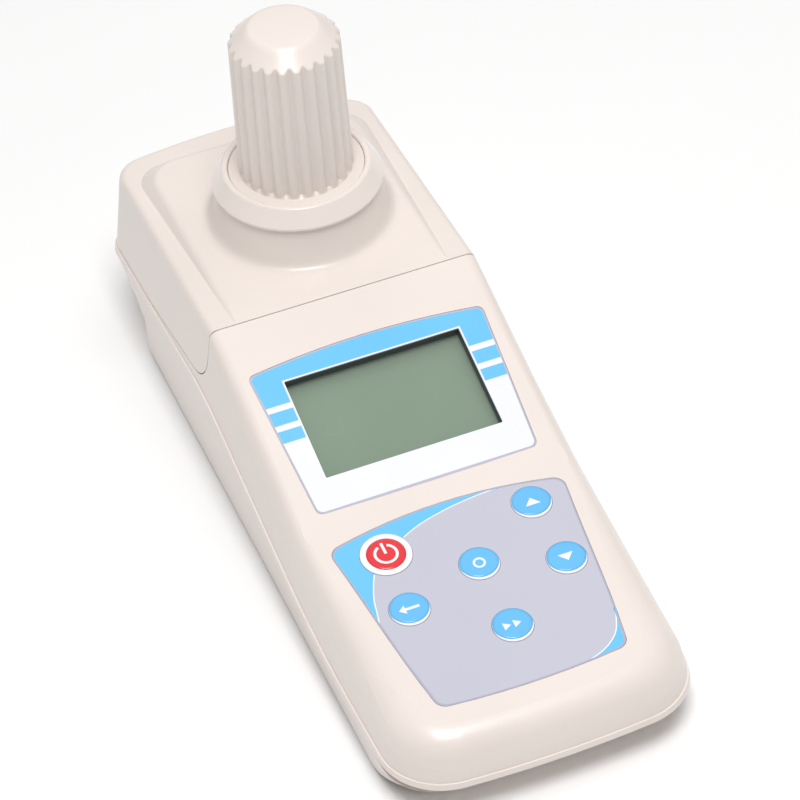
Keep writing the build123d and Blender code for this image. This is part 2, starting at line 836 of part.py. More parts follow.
with BuildPart() as hood:
    add(hood_solid)
    add(plateau())
    add(neck.part)
    add(hood_region(seam_gap / 2), mode=Mode.INTERSECT)
    add(hood_hollow, mode=Mode.SUBTRACT)
    add(plateau(hood_wall, hood_wall), mode=Mode.SUBTRACT)
    add(hood_bosses.part)
    with BuildSketch(Plane.XY.offset(beam_z)):
        with Locations((well_x, well_y)):
            Circle(neck_bore_radius)
    extrude(until=Until.LAST, mode=Mode.SUBTRACT)
    add(boss_holes(rear_posts), mode=Mode.SUBTRACT)
    with BuildSketch(Plane.XY.offset(block_flange_z)):
        with Locations(*block_bosses):
            Circle(small_screw[2] + pilot_clearance)
    extrude(amount=block_flange + block_screw_grip, mode=Mode.SUBTRACT)
hood.part.label = "hood"
export_step(hood.part, "parts/hood.step")

# Collar ring, seated on the neck, with the recess that the cap stands in
with BuildPart() as collar_ring:
    spigot_radius = neck_bore_radius - fit
    with BuildSketch(Plane((well_x, well_y, 0), (1, 0, 0), (0, -1, 0))):
        with BuildLine():
            Polyline((collar_mouth_radius, collar_floor_z), (collar_recess_radius, collar_floor_z),
                     (collar_recess_radius, collar_rim_z), (collar_rim_radius, collar_rim_z),
                     (collar_radius, collar_z + collar_edge), (collar_radius, collar_z),
                     (spigot_radius, collar_z), (spigot_radius, collar_z - collar_spigot),
                     (spigot_radius - collar_spigot_wall, collar_z - collar_spigot),
                     (spigot_radius - collar_spigot_wall, collar_floor_z - collar_floor),
                     (collar_mouth_radius, collar_floor_z - collar_floor), close=True)
        make_face()
    revolve(axis=Axis((well_x, well_y, 0), (0, 0, 1)))
    fillet(collar_ring.edges().filter_by(GeomType.CIRCLE).group_by(Axis.Z)[-1], collar_rim_round)
collar_ring.part.label = "collar_ring"
export_step(collar_ring.part, "parts/collar_ring.step")

# Cap: hollow, fluted for grip, standing in the collar's recess
with BuildPart() as cap:
    flange_top = cap_flange_z + cap_flange
    with BuildSketch(Plane((well_x, well_y, 0), (1, 0, 0), (0, -1, 0))):
        with BuildLine():
            Polyline((0, cap_top_z), (cap_crown_radius, cap_top_z), (cap_top_radius, cap_cone_z),
                     (cap_base_radius, flange_top), (cap_flange_radius, flange_top),
                     (cap_flange_radius, cap_flange_z), (cap_bore_base, cap_flange_z),
                     (cap_bore_top, cap_top_z - cap_roof), (0, cap_top_z - cap_roof), close=True)
        make_face()
    revolve(axis=Axis((well_x, well_y, 0), (0, 0, 1)))
    fillet(cap.edges().filter_by(GeomType.CIRCLE).group_by(Axis.Z)[-1], cap_crown_round)
    lean = (cap_base_radius - cap_top_radius) / (cap_cone_z - flange_top)
    flute_centre = cap_base_radius + flute_radius - flute_depth - flute_foot * lean
    for index in range(cap_flutes):
        angle = 2 * pi * index / cap_flutes
        outward = (cos(angle), sin(angle), 0)
        foot = Vector(well_x + flute_centre * outward[0], well_y + flute_centre * outward[1],
                      flange_top + flute_foot)
        upward = Vector(-lean * outward[0], -lean * outward[1], 1)
        with BuildSketch(Plane(foot, (-outward[1], outward[0], 0), upward)):
            Circle(flute_radius)
        extrude(amount=cap_top_z - flange_top, mode=Mode.SUBTRACT)
cap.part.label = "cap"
export_step(cap.part, "parts/cap.step")

with BuildPart() as cap_seal:
    with BuildSketch(Plane.XY.offset(collar_floor_z)):
        with Locations((well_x, well_y)):
            Circle(seal_radius)
            Circle(seal_radius - seal_width, mode=Mode.SUBTRACT)
    extrude(amount=seal_thickness)
cap_seal.part.label = "cap_seal"
export_step(cap_seal.part, "parts/cap_seal.step")

# Lower shell: tray with screw posts, the battery bay and the track of its door
door_top_z = foot_height + door_plate + door_flange
track_top_z = door_top_z + door_clearance
cell_z = track_top_z + cell_lift + cell_radius
bay_top_z = cell_z + cell_radius + cell_lift
door_half_width = bay_half_width + door_side
door_rear_y = bay_rear_y + door_end
board_posts = [(x, y) for x in (board_post_inset - board_half_width, board_half_width - board_post_inset)
               for y in (board_front_y + board_post_inset, board_rear_y - board_post_inset)]

with BuildPart() as lower_fittings:
    for x, y, top in front_posts + rear_posts:
        with BuildSketch(Plane.XY.offset(foot_height)):
            with Locations((x, y)):
                Circle(post_radius)
        extrude(amount=top - foot_height)
    with BuildSketch(Plane.XY.offset(foot_height)):
        with Locations(*board_posts):
            Circle(board_post_radius)
    extrude(amount=board_z - foot_height)
    with BuildSketch(Plane.XY.offset(foot_height)):
        with Locations((0, (bay_front_y + bay_rear_y) / 2)):
            Rectangle(2 * (bay_half_width + bay_wall), bay_length + 2 * bay_wall)
    extrude(amount=bay_top_z + bay_wall - foot_height)
    add(lower_form(lower_wall * core_share), mode=Mode.INTERSECT)

with BuildPart() as groove:
    add(lower_form(-overrun))
    add(lower_form(groove_depth), mode=Mode.SUBTRACT)
    add(above_lip(-groove_height), mode=Mode.INTERSECT)

with BuildPart() as lower_shell:
    add(lower_form())
    add(lower_form(lower_wall), mode=Mode.SUBTRACT)
    add(groove.part, mode=Mode.SUBTRACT)
    add(lower_fittings.part)
    add(upper_region, mode=Mode.SUBTRACT)
    with BuildSketch(Plane.XY.offset(foot_height - overrun)):
        with Locations((0, (bay_front_y + bay_rear_y) / 2)):
            Rectangle(2 * bay_half_width, bay_length)
    extrude(amount=bay_top_z - foot_height + overrun, mode=Mode.SUBTRACT)
    slot_z = foot_height + door_plate - door_clearance
    for half_width, z0, z1 in ((door_half_width, 0, track_top_z),
                               (door_half_width + door_flange_width, slot_z, track_top_z)):
        with BuildSketch(Plane.XY.offset(z0)):
            with Locations((0, door_rear_y + door_clearance)):
                Rectangle(2 * (half_width + door_clearance), case_length, align=(Align.CENTER, Align.MAX))
        extrude(amount=z1 - z0, mode=Mode.SUBTRACT)
    add(post_holes(front_posts + rear_posts), mode=Mode.SUBTRACT)
    with BuildSketch(Plane.XY.offset(board_z)):
        with Locations(*board_posts):
            Circle(small_screw[2] + pilot_clearance)
    extrude(amount=-small_screw_length, mode=Mode.SUBTRACT)
    with BuildSketch(Plane.XY):
        with Locations(*foot_places):
            Circle(foot_radius + fit)
    extrude(amount=foot_height + foot_sink, mode=Mode.SUBTRACT)
lower_shell.part.label = "lower_shell"
export_step(lower_shell.part, "parts/lower_shell.step")

# Battery door, sliding out forwards, with grip grooves underneath
with BuildPart() as battery_door:
    for half_width, z0, z1 in ((door_half_width, foot_height, door_top_z),
                               (door_half_width + door_flange_width, foot_height + door_plate, door_top_z)):
        with BuildSketch(Plane.XY.offset(z0)):
            with Locations((0, door_rear_y)):
                Rectangle(2 * half_width, case_length / 2, align=(Align.CENTER, Align.MAX))
        extrude(amount=z1 - z0)
    add(lower_form(), mode=Mode.INTERSECT)
    grip_z = foot_height + grip_depth - grip_radius
    with BuildSketch(Plane((-grip_length / 2, bay_front_y, grip_z), (0, 1, 0), (1, 0, 0))):
        with GridLocations(grip_pitch, 1, grip_grooves, 1):
            Circle(grip_radius)
    extrude(amount=grip_length, mode=Mode.SUBTRACT)
battery_door.part.label = "battery_door"
export_step(battery_door.part, "parts/battery_door.step")

# Batteries: alternate cells turned round
cell_xs = [cell_pitch * (index - (cell_count - 1) / 2) for index in range(cell_count)]
for index, x in enumerate(cell_xs):
    nub_front = index % 2 == 0
    body_y = bay_front_y + contact_gap + (cell_nub if nub_front else 0)
    nub_y = body_y if nub_front else body_y + cell_length
    with BuildPart() as cell:
        with BuildSketch(Plane((x, body_y, cell_z), (1, 0, 0), (0, 1, 0))):
            Circle(cell_radius)
        extrude(amount=cell_length)
        fillet(cell.edges(), cell_edge_round)
        with BuildSketch(Plane((x, nub_y, cell_z), (1, 0, 0), (0, 1, 0))):
            Circle(cell_nub_radius)
        extrude(amount=-cell_nub if nub_front else cell_nub)
    cell.part.label = f"battery_cell_{index + 1}"
    export_step(cell.part, f"parts/battery_cell_{index + 1}.step")

# Leaf contacts at both ends of the bay
for name, wall_y, inward in (("contacts_front", bay_front_y, 1), ("contacts_rear", bay_rear_y, -1)):
    bump = contact_gap - fit
    back = contact_thickness * contact_slant
    bend = contact_bend - contact_thickness
    with BuildPart() as contacts:
        for x in cell_xs:
            with BuildSketch(Plane((x - contact_width / 2, wall_y, cell_z), (0, inward, 0), (1, 0, 0))):
                with BuildLine():
                    Polyline((0, -contact_half_height), (contact_thickness, -contact_half_height),
                             (contact_thickness, -contact_bend), (bump, -contact_tip), (bump, contact_tip),
                             (contact_thickness, contact_bend), (contact_thickness, contact_half_height),
                             (0, contact_half_height), close=True)
                make_face()
                with BuildLine():
                    Polyline((0, -bend), (bump - back, -contact_inner_tip), (bump - back, contact_inner_tip),
                             (0, bend), close=True)
                make_face(mode=Mode.SUBTRACT)
            extrude(amount=contact_width)
    contacts.part.label = name
    export_step(contacts.part, f"parts/{name}.step")

# Label with its window hole
with BuildPart() as panel_label:
    with BuildSketch(display_plane.offset(-label_recess)):
        add(label_outline())
        with Locations((0, -window_start - window_length / 2)):
            Rectangle(2 * window_half_width, window_length, mode=Mode.SUBTRACT)
    extrude(amount=label_thickness)
panel_label.part.label = "panel_label"
export_step(panel_label.part, "parts/panel_label.step")


def display_layer(name, half_width, margin, top, thickness):
    """A flat rectangular layer of the display, centred on the window."""
    with BuildPart() as layer:
        with BuildSketch(display_plane.offset(-top)):
            with Locations((0, -window_start - window_length / 2)):
                Rectangle(2 * half_width, window_length + 2 * margin)
        extrude(amount=-thickness)
    layer.part.label = name
    return layer.part


# Display stack: window pane, metal bezel, glass, backlight and its board
bezel_top = panel_wall + pane_thickness
inner_half_width = bezel_half_width - bezel_sheet
inner_margin = bezel_margin - bezel_sheet
pane = display_layer("display_window", window_half_width + pane_margin, pane_margin, panel_wall,
                     pane_thickness)
export_step(pane, "parts/display_window.step")

with BuildPart() as display_bezel:
    add(display_layer("bezel", bezel_half_width, bezel_margin, bezel_top, bezel_depth))
    add(display_layer("inside", inner_half_width, inner_margin, bezel_top + bezel_sheet, bezel_depth),
        mode=Mode.SUBTRACT)
    add(display_layer("view", window_half_width + bezel_view_margin, bezel_view_margin, bezel_top - overrun,
                      bezel_depth), mode=Mode.SUBTRACT)
display_bezel.part.label = "display_bezel"
export_step(display_bezel.part, "parts/display_bezel.step")

glass_top = bezel_top + bezel_sheet
light_top = glass_top + display_glass
glass = display_layer("display_glass", inner_half_width - fit, inner_margin - fit, glass_top, display_glass)
export_step(glass, "parts/display_glass.step")
backlight = display_layer("display_backlight", inner_half_width - fit, inner_margin - fit, light_top,
                          bezel_bottom - light_top)
export_step(backlight, "parts/display_backlight.step")

with BuildPart() as display_board:
    add(display_layer("board", bezel_half_width + display_board_side,
                      bezel_margin + display_screw_gap + display_board_end, bezel_bottom,
                      display_board_thickness))
    with BuildSketch(display_plane.offset(-bezel_bottom)):
        with Locations(*display_screw_places):
            Circle(small_screw[2] + screw_clearance)
    extrude(amount=-display_board_thickness, mode=Mode.SUBTRACT)
display_board.part.label = "display_board"
export_step(display_board.part, "parts/display_board.step")

# Keypad: overlay with key holes, keys with a rim under it, domes and the printed circuit
with BuildPart() as keypad_overlay:
    with BuildSketch(keypad_plane.offset(-overlay_thickness)):
        add(overlay_outline())
        for name, (x, along) in key_places.items():
            with Locations((x, -along)):
                Circle(key_size(name) + key_clearance, mode=Mode.SUBTRACT)
    extrude(amount=overlay_thickness)
keypad_overlay.part.label = "keypad_overlay"
export_step(keypad_overlay.part, "parts/keypad_overlay.step")

for name, (x, along) in key_places.items():
    rim_top = overlay_thickness + key_rim_gap
    with BuildPart() as key:
        with BuildSketch(keypad_plane.offset(-rim_top)):
            with Locations((x, -along)):
                Circle(key_size(name))
        extrude(amount=rim_top + key_proud)
        fillet(key.edges().group_by(Axis.Z)[-1], key_edge_round)
        with BuildSketch(keypad_plane.offset(-rim_top)):
            with Locations((x, -along)):
                Circle(key_size(name) + key_rim)
        extrude(amount=-key_rim_thickness)
    key.part.label = name
    export_step(key.part, f"parts/{name}.step")

with BuildPart() as key_domes:
    for x, along in key_places.values():
        centre = keypad_plane.from_local_coords((x, -along, -panel_wall))
        with BuildSketch(Plane(centre, (1, 0, 0), keypad_up)):
            Circle(dome_radius)
        with BuildSketch(Plane(centre, (1, 0, 0), keypad_up).offset(dome_height)):
            Circle(dome_top_radius)
        loft()
key_domes.part.label = "key_domes"
export_step(key_domes.part, "parts/key_domes.step")

with BuildPart() as keypad_circuit:
    first = min(along for x, along in key_places.values()) - circuit_margin
    last = max(along for x, along in key_places.values()) + circuit_margin
    with BuildSketch(keypad_plane.offset(-panel_wall)):
        with Locations((0, -(first + last) / 2)):
            Rectangle(2 * circuit_half_width, last - first)
    extrude(amount=-circuit_thickness)
    board_top_z = board_z + board_thickness
    ribbon_y = board_front_y - ribbon_before_board
    ribbon_end_y = board_front_y + ribbon_lap
    ribbon_top_z = panel_z(ribbon_y, panel_wall + circuit_thickness / 2)
    with BuildSketch(Plane.YZ):
        with BuildLine():
            Polyline((ribbon_y, ribbon_top_z), (ribbon_y, board_top_z), (ribbon_end_y, board_top_z),
                     (ribbon_end_y, board_top_z + ribbon_thickness),
                     (ribbon_y + ribbon_thickness, board_top_z + ribbon_thickness),
                     (ribbon_y + ribbon_thickness, ribbon_top_z), close=True)
        make_face()
    extrude(amount=ribbon_half_width, both=True)
keypad_circuit.part.label = "keypad_circuit"
export_step(keypad_circuit.part, "parts/keypad_circuit.step")

# Main board, its chips and the buzzer
with BuildPart() as main_board:
    with BuildSketch(Plane.XY.offset(board_z)):
        with Locations((0, board_middle_y)):
            Rectangle(2 * board_half_width, board_rear_y - board_front_y)
        with Locations(*board_posts):
            Circle(small_screw[2] + screw_clearance, mode=Mode.SUBTRACT)
    extrude(amount=board_thickness)
main_board.part.label = "main_board"
export_step(main_board.part, "parts/main_board.step")

with BuildPart() as board_chips:
    for place, (width, length, height) in chips:
        with BuildSketch(Plane.XY.offset(board_z + board_thickness)):
            with Locations(place):
                Rectangle(width, length)
        extrude(amount=height)
board_chips.part.label = "board_chips"
export_step(board_chips.part, "parts/board_chips.step")

with BuildPart() as buzzer:
    with BuildSketch(Plane.XY.offset(board_z + board_thickness)):
        with Locations(buzzer_place):
            Circle(buzzer_radius)
    extrude(amount=buzzer_height)
    with BuildSketch(Plane.XY.offset(board_z + board_thickness + buzzer_height)):
        with Locations(buzzer_place):
            Circle(buzzer_hole_radius)
    extrude(amount=-buzzer_hole_depth, mode=Mode.SUBTRACT)
buzzer.part.label = "buzzer"
export_step(buzzer.part, "parts/buzzer.step")

# Well block: the vial's bore, its flange under the hood and the two optical arms
block_top_z = collar_floor_z - collar_floor - fit
with BuildPart() as well_block:
    with BuildSketch(Plane.XY.offset(well_floor_z - well_floor)):
        with Locations((well_x, well_y)):
            Circle(block_radius)
    extrude(amount=block_top_z - well_floor_z + well_floor)
    with BuildSketch(Plane.XY.offset(block_flange_z)):
        with Locations((well_x, well_y)):
            Circle(block_flange_radius)
    extrude(amount=block_flange)
    with Locations((well_x, well_y, beam_z)):
        Box(2 * arm_end, 2 * arm_half_depth, 2 * arm_half_height)
    with BuildSketch(Plane.XY.offset(well_floor_z)):
        with Locations((well_x, well_y)):
            Circle(well_radius)
    extrude(amount=block_top_z - well_floor_z, mode=Mode.SUBTRACT)
    with BuildSketch(Plane.XY.offset(block_flange_z)):
        with Locations(*block_bosses):
            Circle(small_screw[2] + screw_clearance)
    extrude(amount=block_flange, mode=Mode.SUBTRACT)
    for side, bore in ((-1, source_bore), (1, detector_bore)):
        end = Plane((well_x + side * arm_end, well_y, beam_z), (0, 1, 0), (-side, 0, 0))
        with BuildSketch(end):
            Circle(bore)
        extrude(amount=arm_end - arm_floor_x, mode=Mode.SUBTRACT)
        with BuildSketch(end):
            Circle(beam_radius)
        extrude(amount=arm_end - well_radius / 2, mode=Mode.SUBTRACT)
        with BuildSketch(end):
            with Locations((-optic_screw_y, 0), (optic_screw_y, 0)):
                Circle(small_screw[2] + pilot_clearance)
        extrude(amount=small_screw_length, mode=Mode.SUBTRACT)
well_block.part.label = "well_block"
export_step(well_block.part, "parts/well_block.step")

# Light source side: board, lamp and collimating lens
source_end = Plane((well_x - arm_end, well_y, beam_z), (0, 1, 0), (1, 0, 0))
detector_end = Plane((well_x + arm_end, well_y, beam_z), (0, 1, 0), (-1, 0, 0))
arm_depth = arm_end - arm_floor_x

for name, end in (("source_board", source_end), ("detector_board", detector_end)):
    with BuildPart() as optic_board:
        with BuildSketch(end):
            Rectangle(2 * arm_half_depth, 2 * arm_half_height)
            with Locations((-optic_screw_y, 0), (optic_screw_y, 0)):
                Circle(small_screw[2] + screw_clearance, mode=Mode.SUBTRACT)
        extrude(amount=-optic_board_thickness)
    optic_board.part.label = name
    export_step(optic_board.part, f"parts/{name}.step")

with BuildPart() as lamp:
    with BuildSketch(source_end):
        Circle(source_bore - optic_clearance)
    extrude(amount=led_flange)
    with BuildSketch(source_end):
        Circle(led_radius)
    extrude(amount=led_length)
    fillet(lamp.edges().sort_by(Axis.X)[-1], led_tip_round)
lamp.part.label = "lamp"
export_step(lamp.part, "parts/lamp.step")

with BuildPart() as collimator_lens:
    with BuildSketch(source_end.offset(arm_depth - lens_thickness)):
        Circle(source_bore - optic_clearance)
    extrude(amount=lens_thickness)
    fillet(collimator_lens.edges().sort_by(Axis.X)[0], lens_round)
collimator_lens.part.label = "collimator_lens"
export_step(collimator_lens.part, "parts/collimator_lens.step")

# Detector side: colour filter and photodiode
with BuildPart() as colour_filter:
    with BuildSketch(detector_end.offset(arm_depth - filter_thickness)):
        Circle(detector_bore - optic_clearance)
    extrude(amount=filter_thickness)
colour_filter.part.label = "colour_filter"
export_step(colour_filter.part, "parts/colour_filter.step")

with BuildPart() as photodiode:
    with BuildSketch(detector_end):
        Circle(detector_bore - optic_clearance)
    extrude(amount=photodiode_flange)
    with BuildSketch(detector_end):
        Circle(photodiode_radius)
    extrude(amount=photodiode_length)
photodiode.part.label = "photodiode"
export_step(photodiode.part, "parts/photodiode.step")

# Screws
case_screw_seats = [Plane((x, y, top - case_screw_seat), (1, 0, 0), (0, 0, -1))
                    for x, y, top in front_posts + rear_posts]
board_screw_seats = [Plane((x, y, board_z + board_thickness), (1, 0, 0), (0, 0, 1)) for x, y in board_posts]
display_back = -bezel_bottom - display_board_thickness
display_screw_seats = [Plane(display_plane.from_local_coords((x, y, display_back)), (1, 0, 0), (0, rise, -run))
                       for x, y in display_screw_places]
block_screw_seats = [Plane((x, y, block_flange_z), (1, 0, 0), (0, 0, -1)) for x, y in block_bosses]
optic_seat_x = arm_end + optic_board_thickness
optic_screw_seats = [Plane((well_x + side * optic_seat_x, well_y + y, beam_z), (0, 1, 0), (side, 0, 0))
                     for side in (-1, 1) for y in (-optic_screw_y, optic_screw_y)]
for name, seats, size, length in (
        ("case_screws", case_screw_seats, case_screw, case_screw_length),
        ("board_screws", board_screw_seats, small_screw, board_thickness + board_screw_grip),
        ("display_screws", display_screw_seats, small_screw, display_board_thickness + board_screw_grip),
        ("block_screws", block_screw_seats, small_screw, block_flange + board_screw_grip),
        ("optic_screws", optic_screw_seats, small_screw, optic_board_thickness + board_screw_grip)):
    screws = screws_at(seats, size, length)
    screws.label = name
    export_step(screws, f"parts/{name}.step")

# Rubber feet
with BuildPart() as rubber_feet:
    with BuildSketch(Plane.XY):
        with Locations(*foot_places):
            Circle(foot_radius)
    extrude(amount=foot_height + foot_sink)
    chamfer(rubber_feet.edges().group_by(Axis.Z)[0], foot_chamfer)
rubber_feet.part.label = "rubber_feet"
export_step(rubber_feet.part, "parts/rubber_feet.step")
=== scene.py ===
"""Looks of the urea tester: moulded case, printed label and keypad, display, ribbed cap and the parts inside."""

import math

import bmesh
import bpy
from mathutils import Matrix, Vector
from mathutils.geometry import delaunay_2d_cdt


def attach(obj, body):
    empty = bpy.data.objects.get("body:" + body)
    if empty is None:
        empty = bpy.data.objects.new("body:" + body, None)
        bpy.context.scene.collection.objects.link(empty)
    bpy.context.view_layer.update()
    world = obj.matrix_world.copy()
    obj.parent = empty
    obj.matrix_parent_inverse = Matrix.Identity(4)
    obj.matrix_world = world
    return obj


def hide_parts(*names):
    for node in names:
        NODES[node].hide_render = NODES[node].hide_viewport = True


bl_info = {
    "name": "Urea Tester",
    "version": (1, 0, 0),
    "blender": (4, 5, 0),
    "location": "3D View > Sidebar > Urea Tester",
    "description": "Builds the looks of a hand-held urea tester round its fixed frame",
    "category": "Object",
}

MM = 0.001

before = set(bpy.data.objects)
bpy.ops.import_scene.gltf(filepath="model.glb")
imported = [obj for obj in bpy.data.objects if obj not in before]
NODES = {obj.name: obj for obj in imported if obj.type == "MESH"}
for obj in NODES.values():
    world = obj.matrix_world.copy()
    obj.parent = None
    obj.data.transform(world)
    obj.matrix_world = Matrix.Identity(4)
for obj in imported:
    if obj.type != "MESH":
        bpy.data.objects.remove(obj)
bpy.context.view_layer.update()

# Faces of the panel, in millimetres: the display face starts at the seam, the keypad face at the valley
SEAM_Y = 27.9
SEAM_Z = 51.3
DISPLAY_SLOPE = math.radians(18.0)
KEYPAD_SLOPE = math.radians(6.0)
DISPLAY_RUN = 66.5
VALLEY_Y = SEAM_Y - DISPLAY_RUN * math.cos(DISPLAY_SLOPE)
VALLEY_Z = SEAM_Z - DISPLAY_RUN * math.sin(DISPLAY_SLOPE)
WELL_X = 1.8
WELL_Y = 64.8

# Label: distances down the display face from the seam
LABEL_START = 16.6
LABEL_END = 61.7
LABEL_ARCH = 2.4
LABEL_TOP = 33.6
LABEL_BOTTOM = 31.0
LABEL_CORNER = 2.0
LABEL_DEPTH = 0.1
WINDOW_START = 21.0
WINDOW_END = 52.0
WINDOW_HALF = 25.0
WINDOW_CORNER = 0.3
WINDOW_BORDER = 0.5
# The window's lining is painted shade: a dark sheet in the tone of the shadow on the window's walls
LINING_TOP = -0.5
LINING_DEPTH = 2.3
LINING_WIDTH = 0.12
STRIPES = ((29.1, 33.2), (35.0, 38.7))
BAND_END = 27.3

# Keypad: distances down the keypad face from the valley
OVERLAY_START = 7.1
OVERLAY_END = 64.3
OVERLAY_ARCH = 4.3
OVERLAY_BOW = 1.5
OVERLAY_SIDE = ((33.0, 7.1), (31.6, 17.6), (28.2, 47.6), (25.6, 64.3))
OVERLAY_CORNER = 3.5
KEY_RADIUS = 5.35
POWER_RADIUS = 6.84
KEYS = {
    "key_power": (-19.5, 13.65),
    "key_upper_right": (21.9, 11.95),
    "key_right": (22.8, 32.55),
    "key_centre": (1.4, 25.65),
    "key_lower_left": (-20.7, 32.55),
    "key_bottom": (1.4, 47.35),
}
KEY_PROUD = 0.3
KEY_HOLE = 0.15
WHITE_LINE = 0.16
OUTLINE_STEP = 0.5

# Key tops: a coloured dome over each key, set off its middle to leave a white crescent, with a raised mark
DOME_EDGE = 0.04
DOME_CREST = 0.16
DOME_SHIFT = 0.7
DOME_MARGIN = 0.1
POWER_DOME_RADIUS = 5.21
MARK_THICKNESS = 0.1
MARK_PROUD = 0.01
POWER_MARK_PROUD = 0.02
POWER_MARK_RADIUS = 3.26
POWER_MARK_WIDTH = 0.75
POWER_MARK_GAP = 24
POWER_BAR_LENGTH = 3.7
POWER_BAR_PLACE = 1.95

# Prints: the bare edge round them, what counts as no distance, and the thicknesses of their layers
EDGE_LINE = 0.45
MERGE_DISTANCE = 1e-6
LABEL_WHITE = 0.03
OVERLAY_WHITE = 0.02
COLOUR_LAYER = 0.015

# Swept lines between the keypad's grey field and its blue corners
TOP_SWEEP = ((15.9, 3.9), (9.2, 4.3), (2.0, 5.2), (-4.4, 6.6), (-8.9, 8.0), (-12.8, 9.8))
LEFT_SWEEP = ((-24.8, 18.7), (-26.3, 22.0), (-27.9, 26.4), (-28.7, 30.4), (-29.4, 33.7))
CORNER_SWEEP = ((27.6, 51.9), (26.2, 55.7), (24.5, 59.2), (22.0, 61.7), (18.9, 63.6), (14.9, 65.0))

# Cap: radii and heights of its flange, fluted barrel, cone and crown
CAP_FLANGE_Z = 67.3
CAP_FLANGE_TOP = 68.3
CAP_FLANGE_RADIUS = 18.7
CAP_BASE_RADIUS = 15.8
CAP_TOP_RADIUS = 15.1
CAP_CONE_Z = 109.8
CAP_CROWN_RADIUS = 9.7
CAP_TOP_Z = 114.7
CAP_BORE = (12.9, 12.2)
CAP_ROOF_Z = 109.7
CAP_FLUTES = 24
CAP_POINTS = 12 * CAP_FLUTES
FLUTE_DEPTH = 1.2
FLUTE_SCOOP = 0.8
FLUTE_FOOT = 0.12
FLUTE_NARROWING = 1.8

# Stage, in metres and watts. Each light has a place, a width, a power, and whether it shows in glossy surfaces
FLOOR_REACH = 4.0
WORLD_COLOUR = (1.0, 0.99, 0.98, 1.0)
WORLD_STRENGTH = 0.3
LIGHT_TARGET = (0.0, 0.0, 0.05)
LIGHTS = (("key_light", (-0.1, -0.36, 1.15), 0.5, 7.3, True), ("top_light", (0.25, 0.3, 1.9), 2.0, 17.6, False))
CAMERA_EYE = (-0.2239, -0.6678, 0.6780)
CAMERA_BACK = (-0.2387, -0.6987, 0.6745)
CAMERA_AZIMUTH = math.radians(-18.86)
CAMERA_ROLL = math.radians(-4.45)
CAMERA_LENS = 161.1
CAMERA_SENSOR = 36.0
CAMERA_CLIP = (0.05, 20.0)

# How much lighter the collar is painted than the case, a painted highlight for the sheen on its chamfer, and the
# part of its range that a noise texture really fills
COLLAR_PAINTED_HIGHLIGHT = 1.06
NOISE_LOW = 0.3
NOISE_HIGH = 0.7


# Materials

def linear(colour):
    """A display colour, 0 to 255, as Blender's linear RGBA."""
    channels = []
    for value in colour:
        value /= 255
        channels.append(value / 12.92 if value <= 0.04045 else ((value + 0.055) / 1.055) ** 2.4)
    return (*channels, 1.0)


def node(tree, kind, **inputs):
    """Adds a shader node and sets its sockets by name."""
    made = tree.nodes.new(kind)
    for name, value in inputs.items():
        made.inputs[name.replace("_", " ")].default_value = value
    return made


def finish_material(name, colour, roughness=0.4, variation=0.03, variation_scale=40.0, grain=0.03,
                    grain_scale=2600.0, spread=0.04, **sockets):
    """A surface whose colour and gloss wander slightly, with a fine moulded or brushed grain in the bump."""
    material = bpy.data.materials.new(name)
    material.use_nodes = True
    tree = material.node_tree
    shader = tree.nodes["Principled BSDF"]
    for socket, value in sockets.items():
        shader.inputs[socket.replace("_", " ")].default_value = value
    place = tree.nodes.new("ShaderNodeTexCoord")
    cloud = node(tree, "ShaderNodeTexNoise", Scale=variation_scale, Detail=3.0)
    tree.links.new(place.outputs["Object"], cloud.inputs["Vector"])
    tones = tree.nodes.new("ShaderNodeValToRGB")
    dark, pale = tones.color_ramp.elements
    dark.position, pale.position = NOISE_LOW, NOISE_HIGH
    dark.color = (*(c * (1 - variation) for c in colour[:3]), 1.0)
    pale.color = (*(min(1.0, c * (1 + variation)) for c in colour[:3]), 1.0)
    tree.links.new(cloud.outputs["Fac"], tones.inputs["Fac"])
    tree.links.new(tones.outputs["Color"], shader.inputs["Base Color"])
    gloss = node(tree, "ShaderNodeMapRange", From_Min=NOISE_LOW, From_Max=NOISE_HIGH,
                 To_Min=roughness - spread, To_Max=roughness + spread)
    tree.links.new(cloud.outputs["Fac"], gloss.inputs["Value"])
    tree.links.new(gloss.outputs["Result"], shader.inputs["Roughness"])
    fine = node(tree, "ShaderNodeTexNoise", Scale=grain_scale, Detail=2.0)
    tree.links.new(place.outputs["Object"], fine.inputs["Vector"])
    bump = node(tree, "ShaderNodeBump", Strength=grain, Distance=0.0001)
    tree.links.new(fine.outputs["Fac"], bump.inputs["Height"])
    tree.links.new(bump.outputs["Normal"], shader.inputs["Normal"])
    return material


def paint(names, material):
    """Gives the named CAD pieces one material."""
    for name in names:
        mesh = NODES[name].data
        mesh.materials.clear()
        mesh.materials.append(material)


# Flat prints and films

def on_face(face, x, along, height):
    """A point of the display or keypad face, in metres."""
    if face == "display":
        base_y, base_z, slope = SEAM_Y, SEAM_Z, DISPLAY_SLOPE
    else:
        base_y, base_z, slope = VALLEY_Y, VALLEY_Z, KEYPAD_SLOPE
    y = base_y - along * math.cos(slope) - height * math.sin(slope)
    z = base_z - along * math.sin(slope) + height * math.cos(slope)
    return Vector((x, y, z)) * MM


def rounded(points, steps=8):
    """A closed loop of (x, along, radius) points with its corners rounded."""
    loop = []
    count = len(points)
    for index, (x, along, radius) in enumerate(points):
        here = Vector((x, along))
        if radius <= 0:
            loop.append(here)
            continue
        before = (Vector(points[index - 1][:2]) - here).normalized()
        after = (Vector(points[(index + 1) % count][:2]) - here).normalized()
        half = before.angle(after) / 2
        reach = radius / math.tan(half)
        centre = here + (before + after).normalized() * (radius / math.sin(half))
        start = here + before * reach - centre
        turn = (here + after * reach - centre).angle_signed(start)
        for step in range(steps + 1):
            angle = turn * step / steps
            loop.append(centre + Matrix.Rotation(angle, 2) @ start)
    return loop


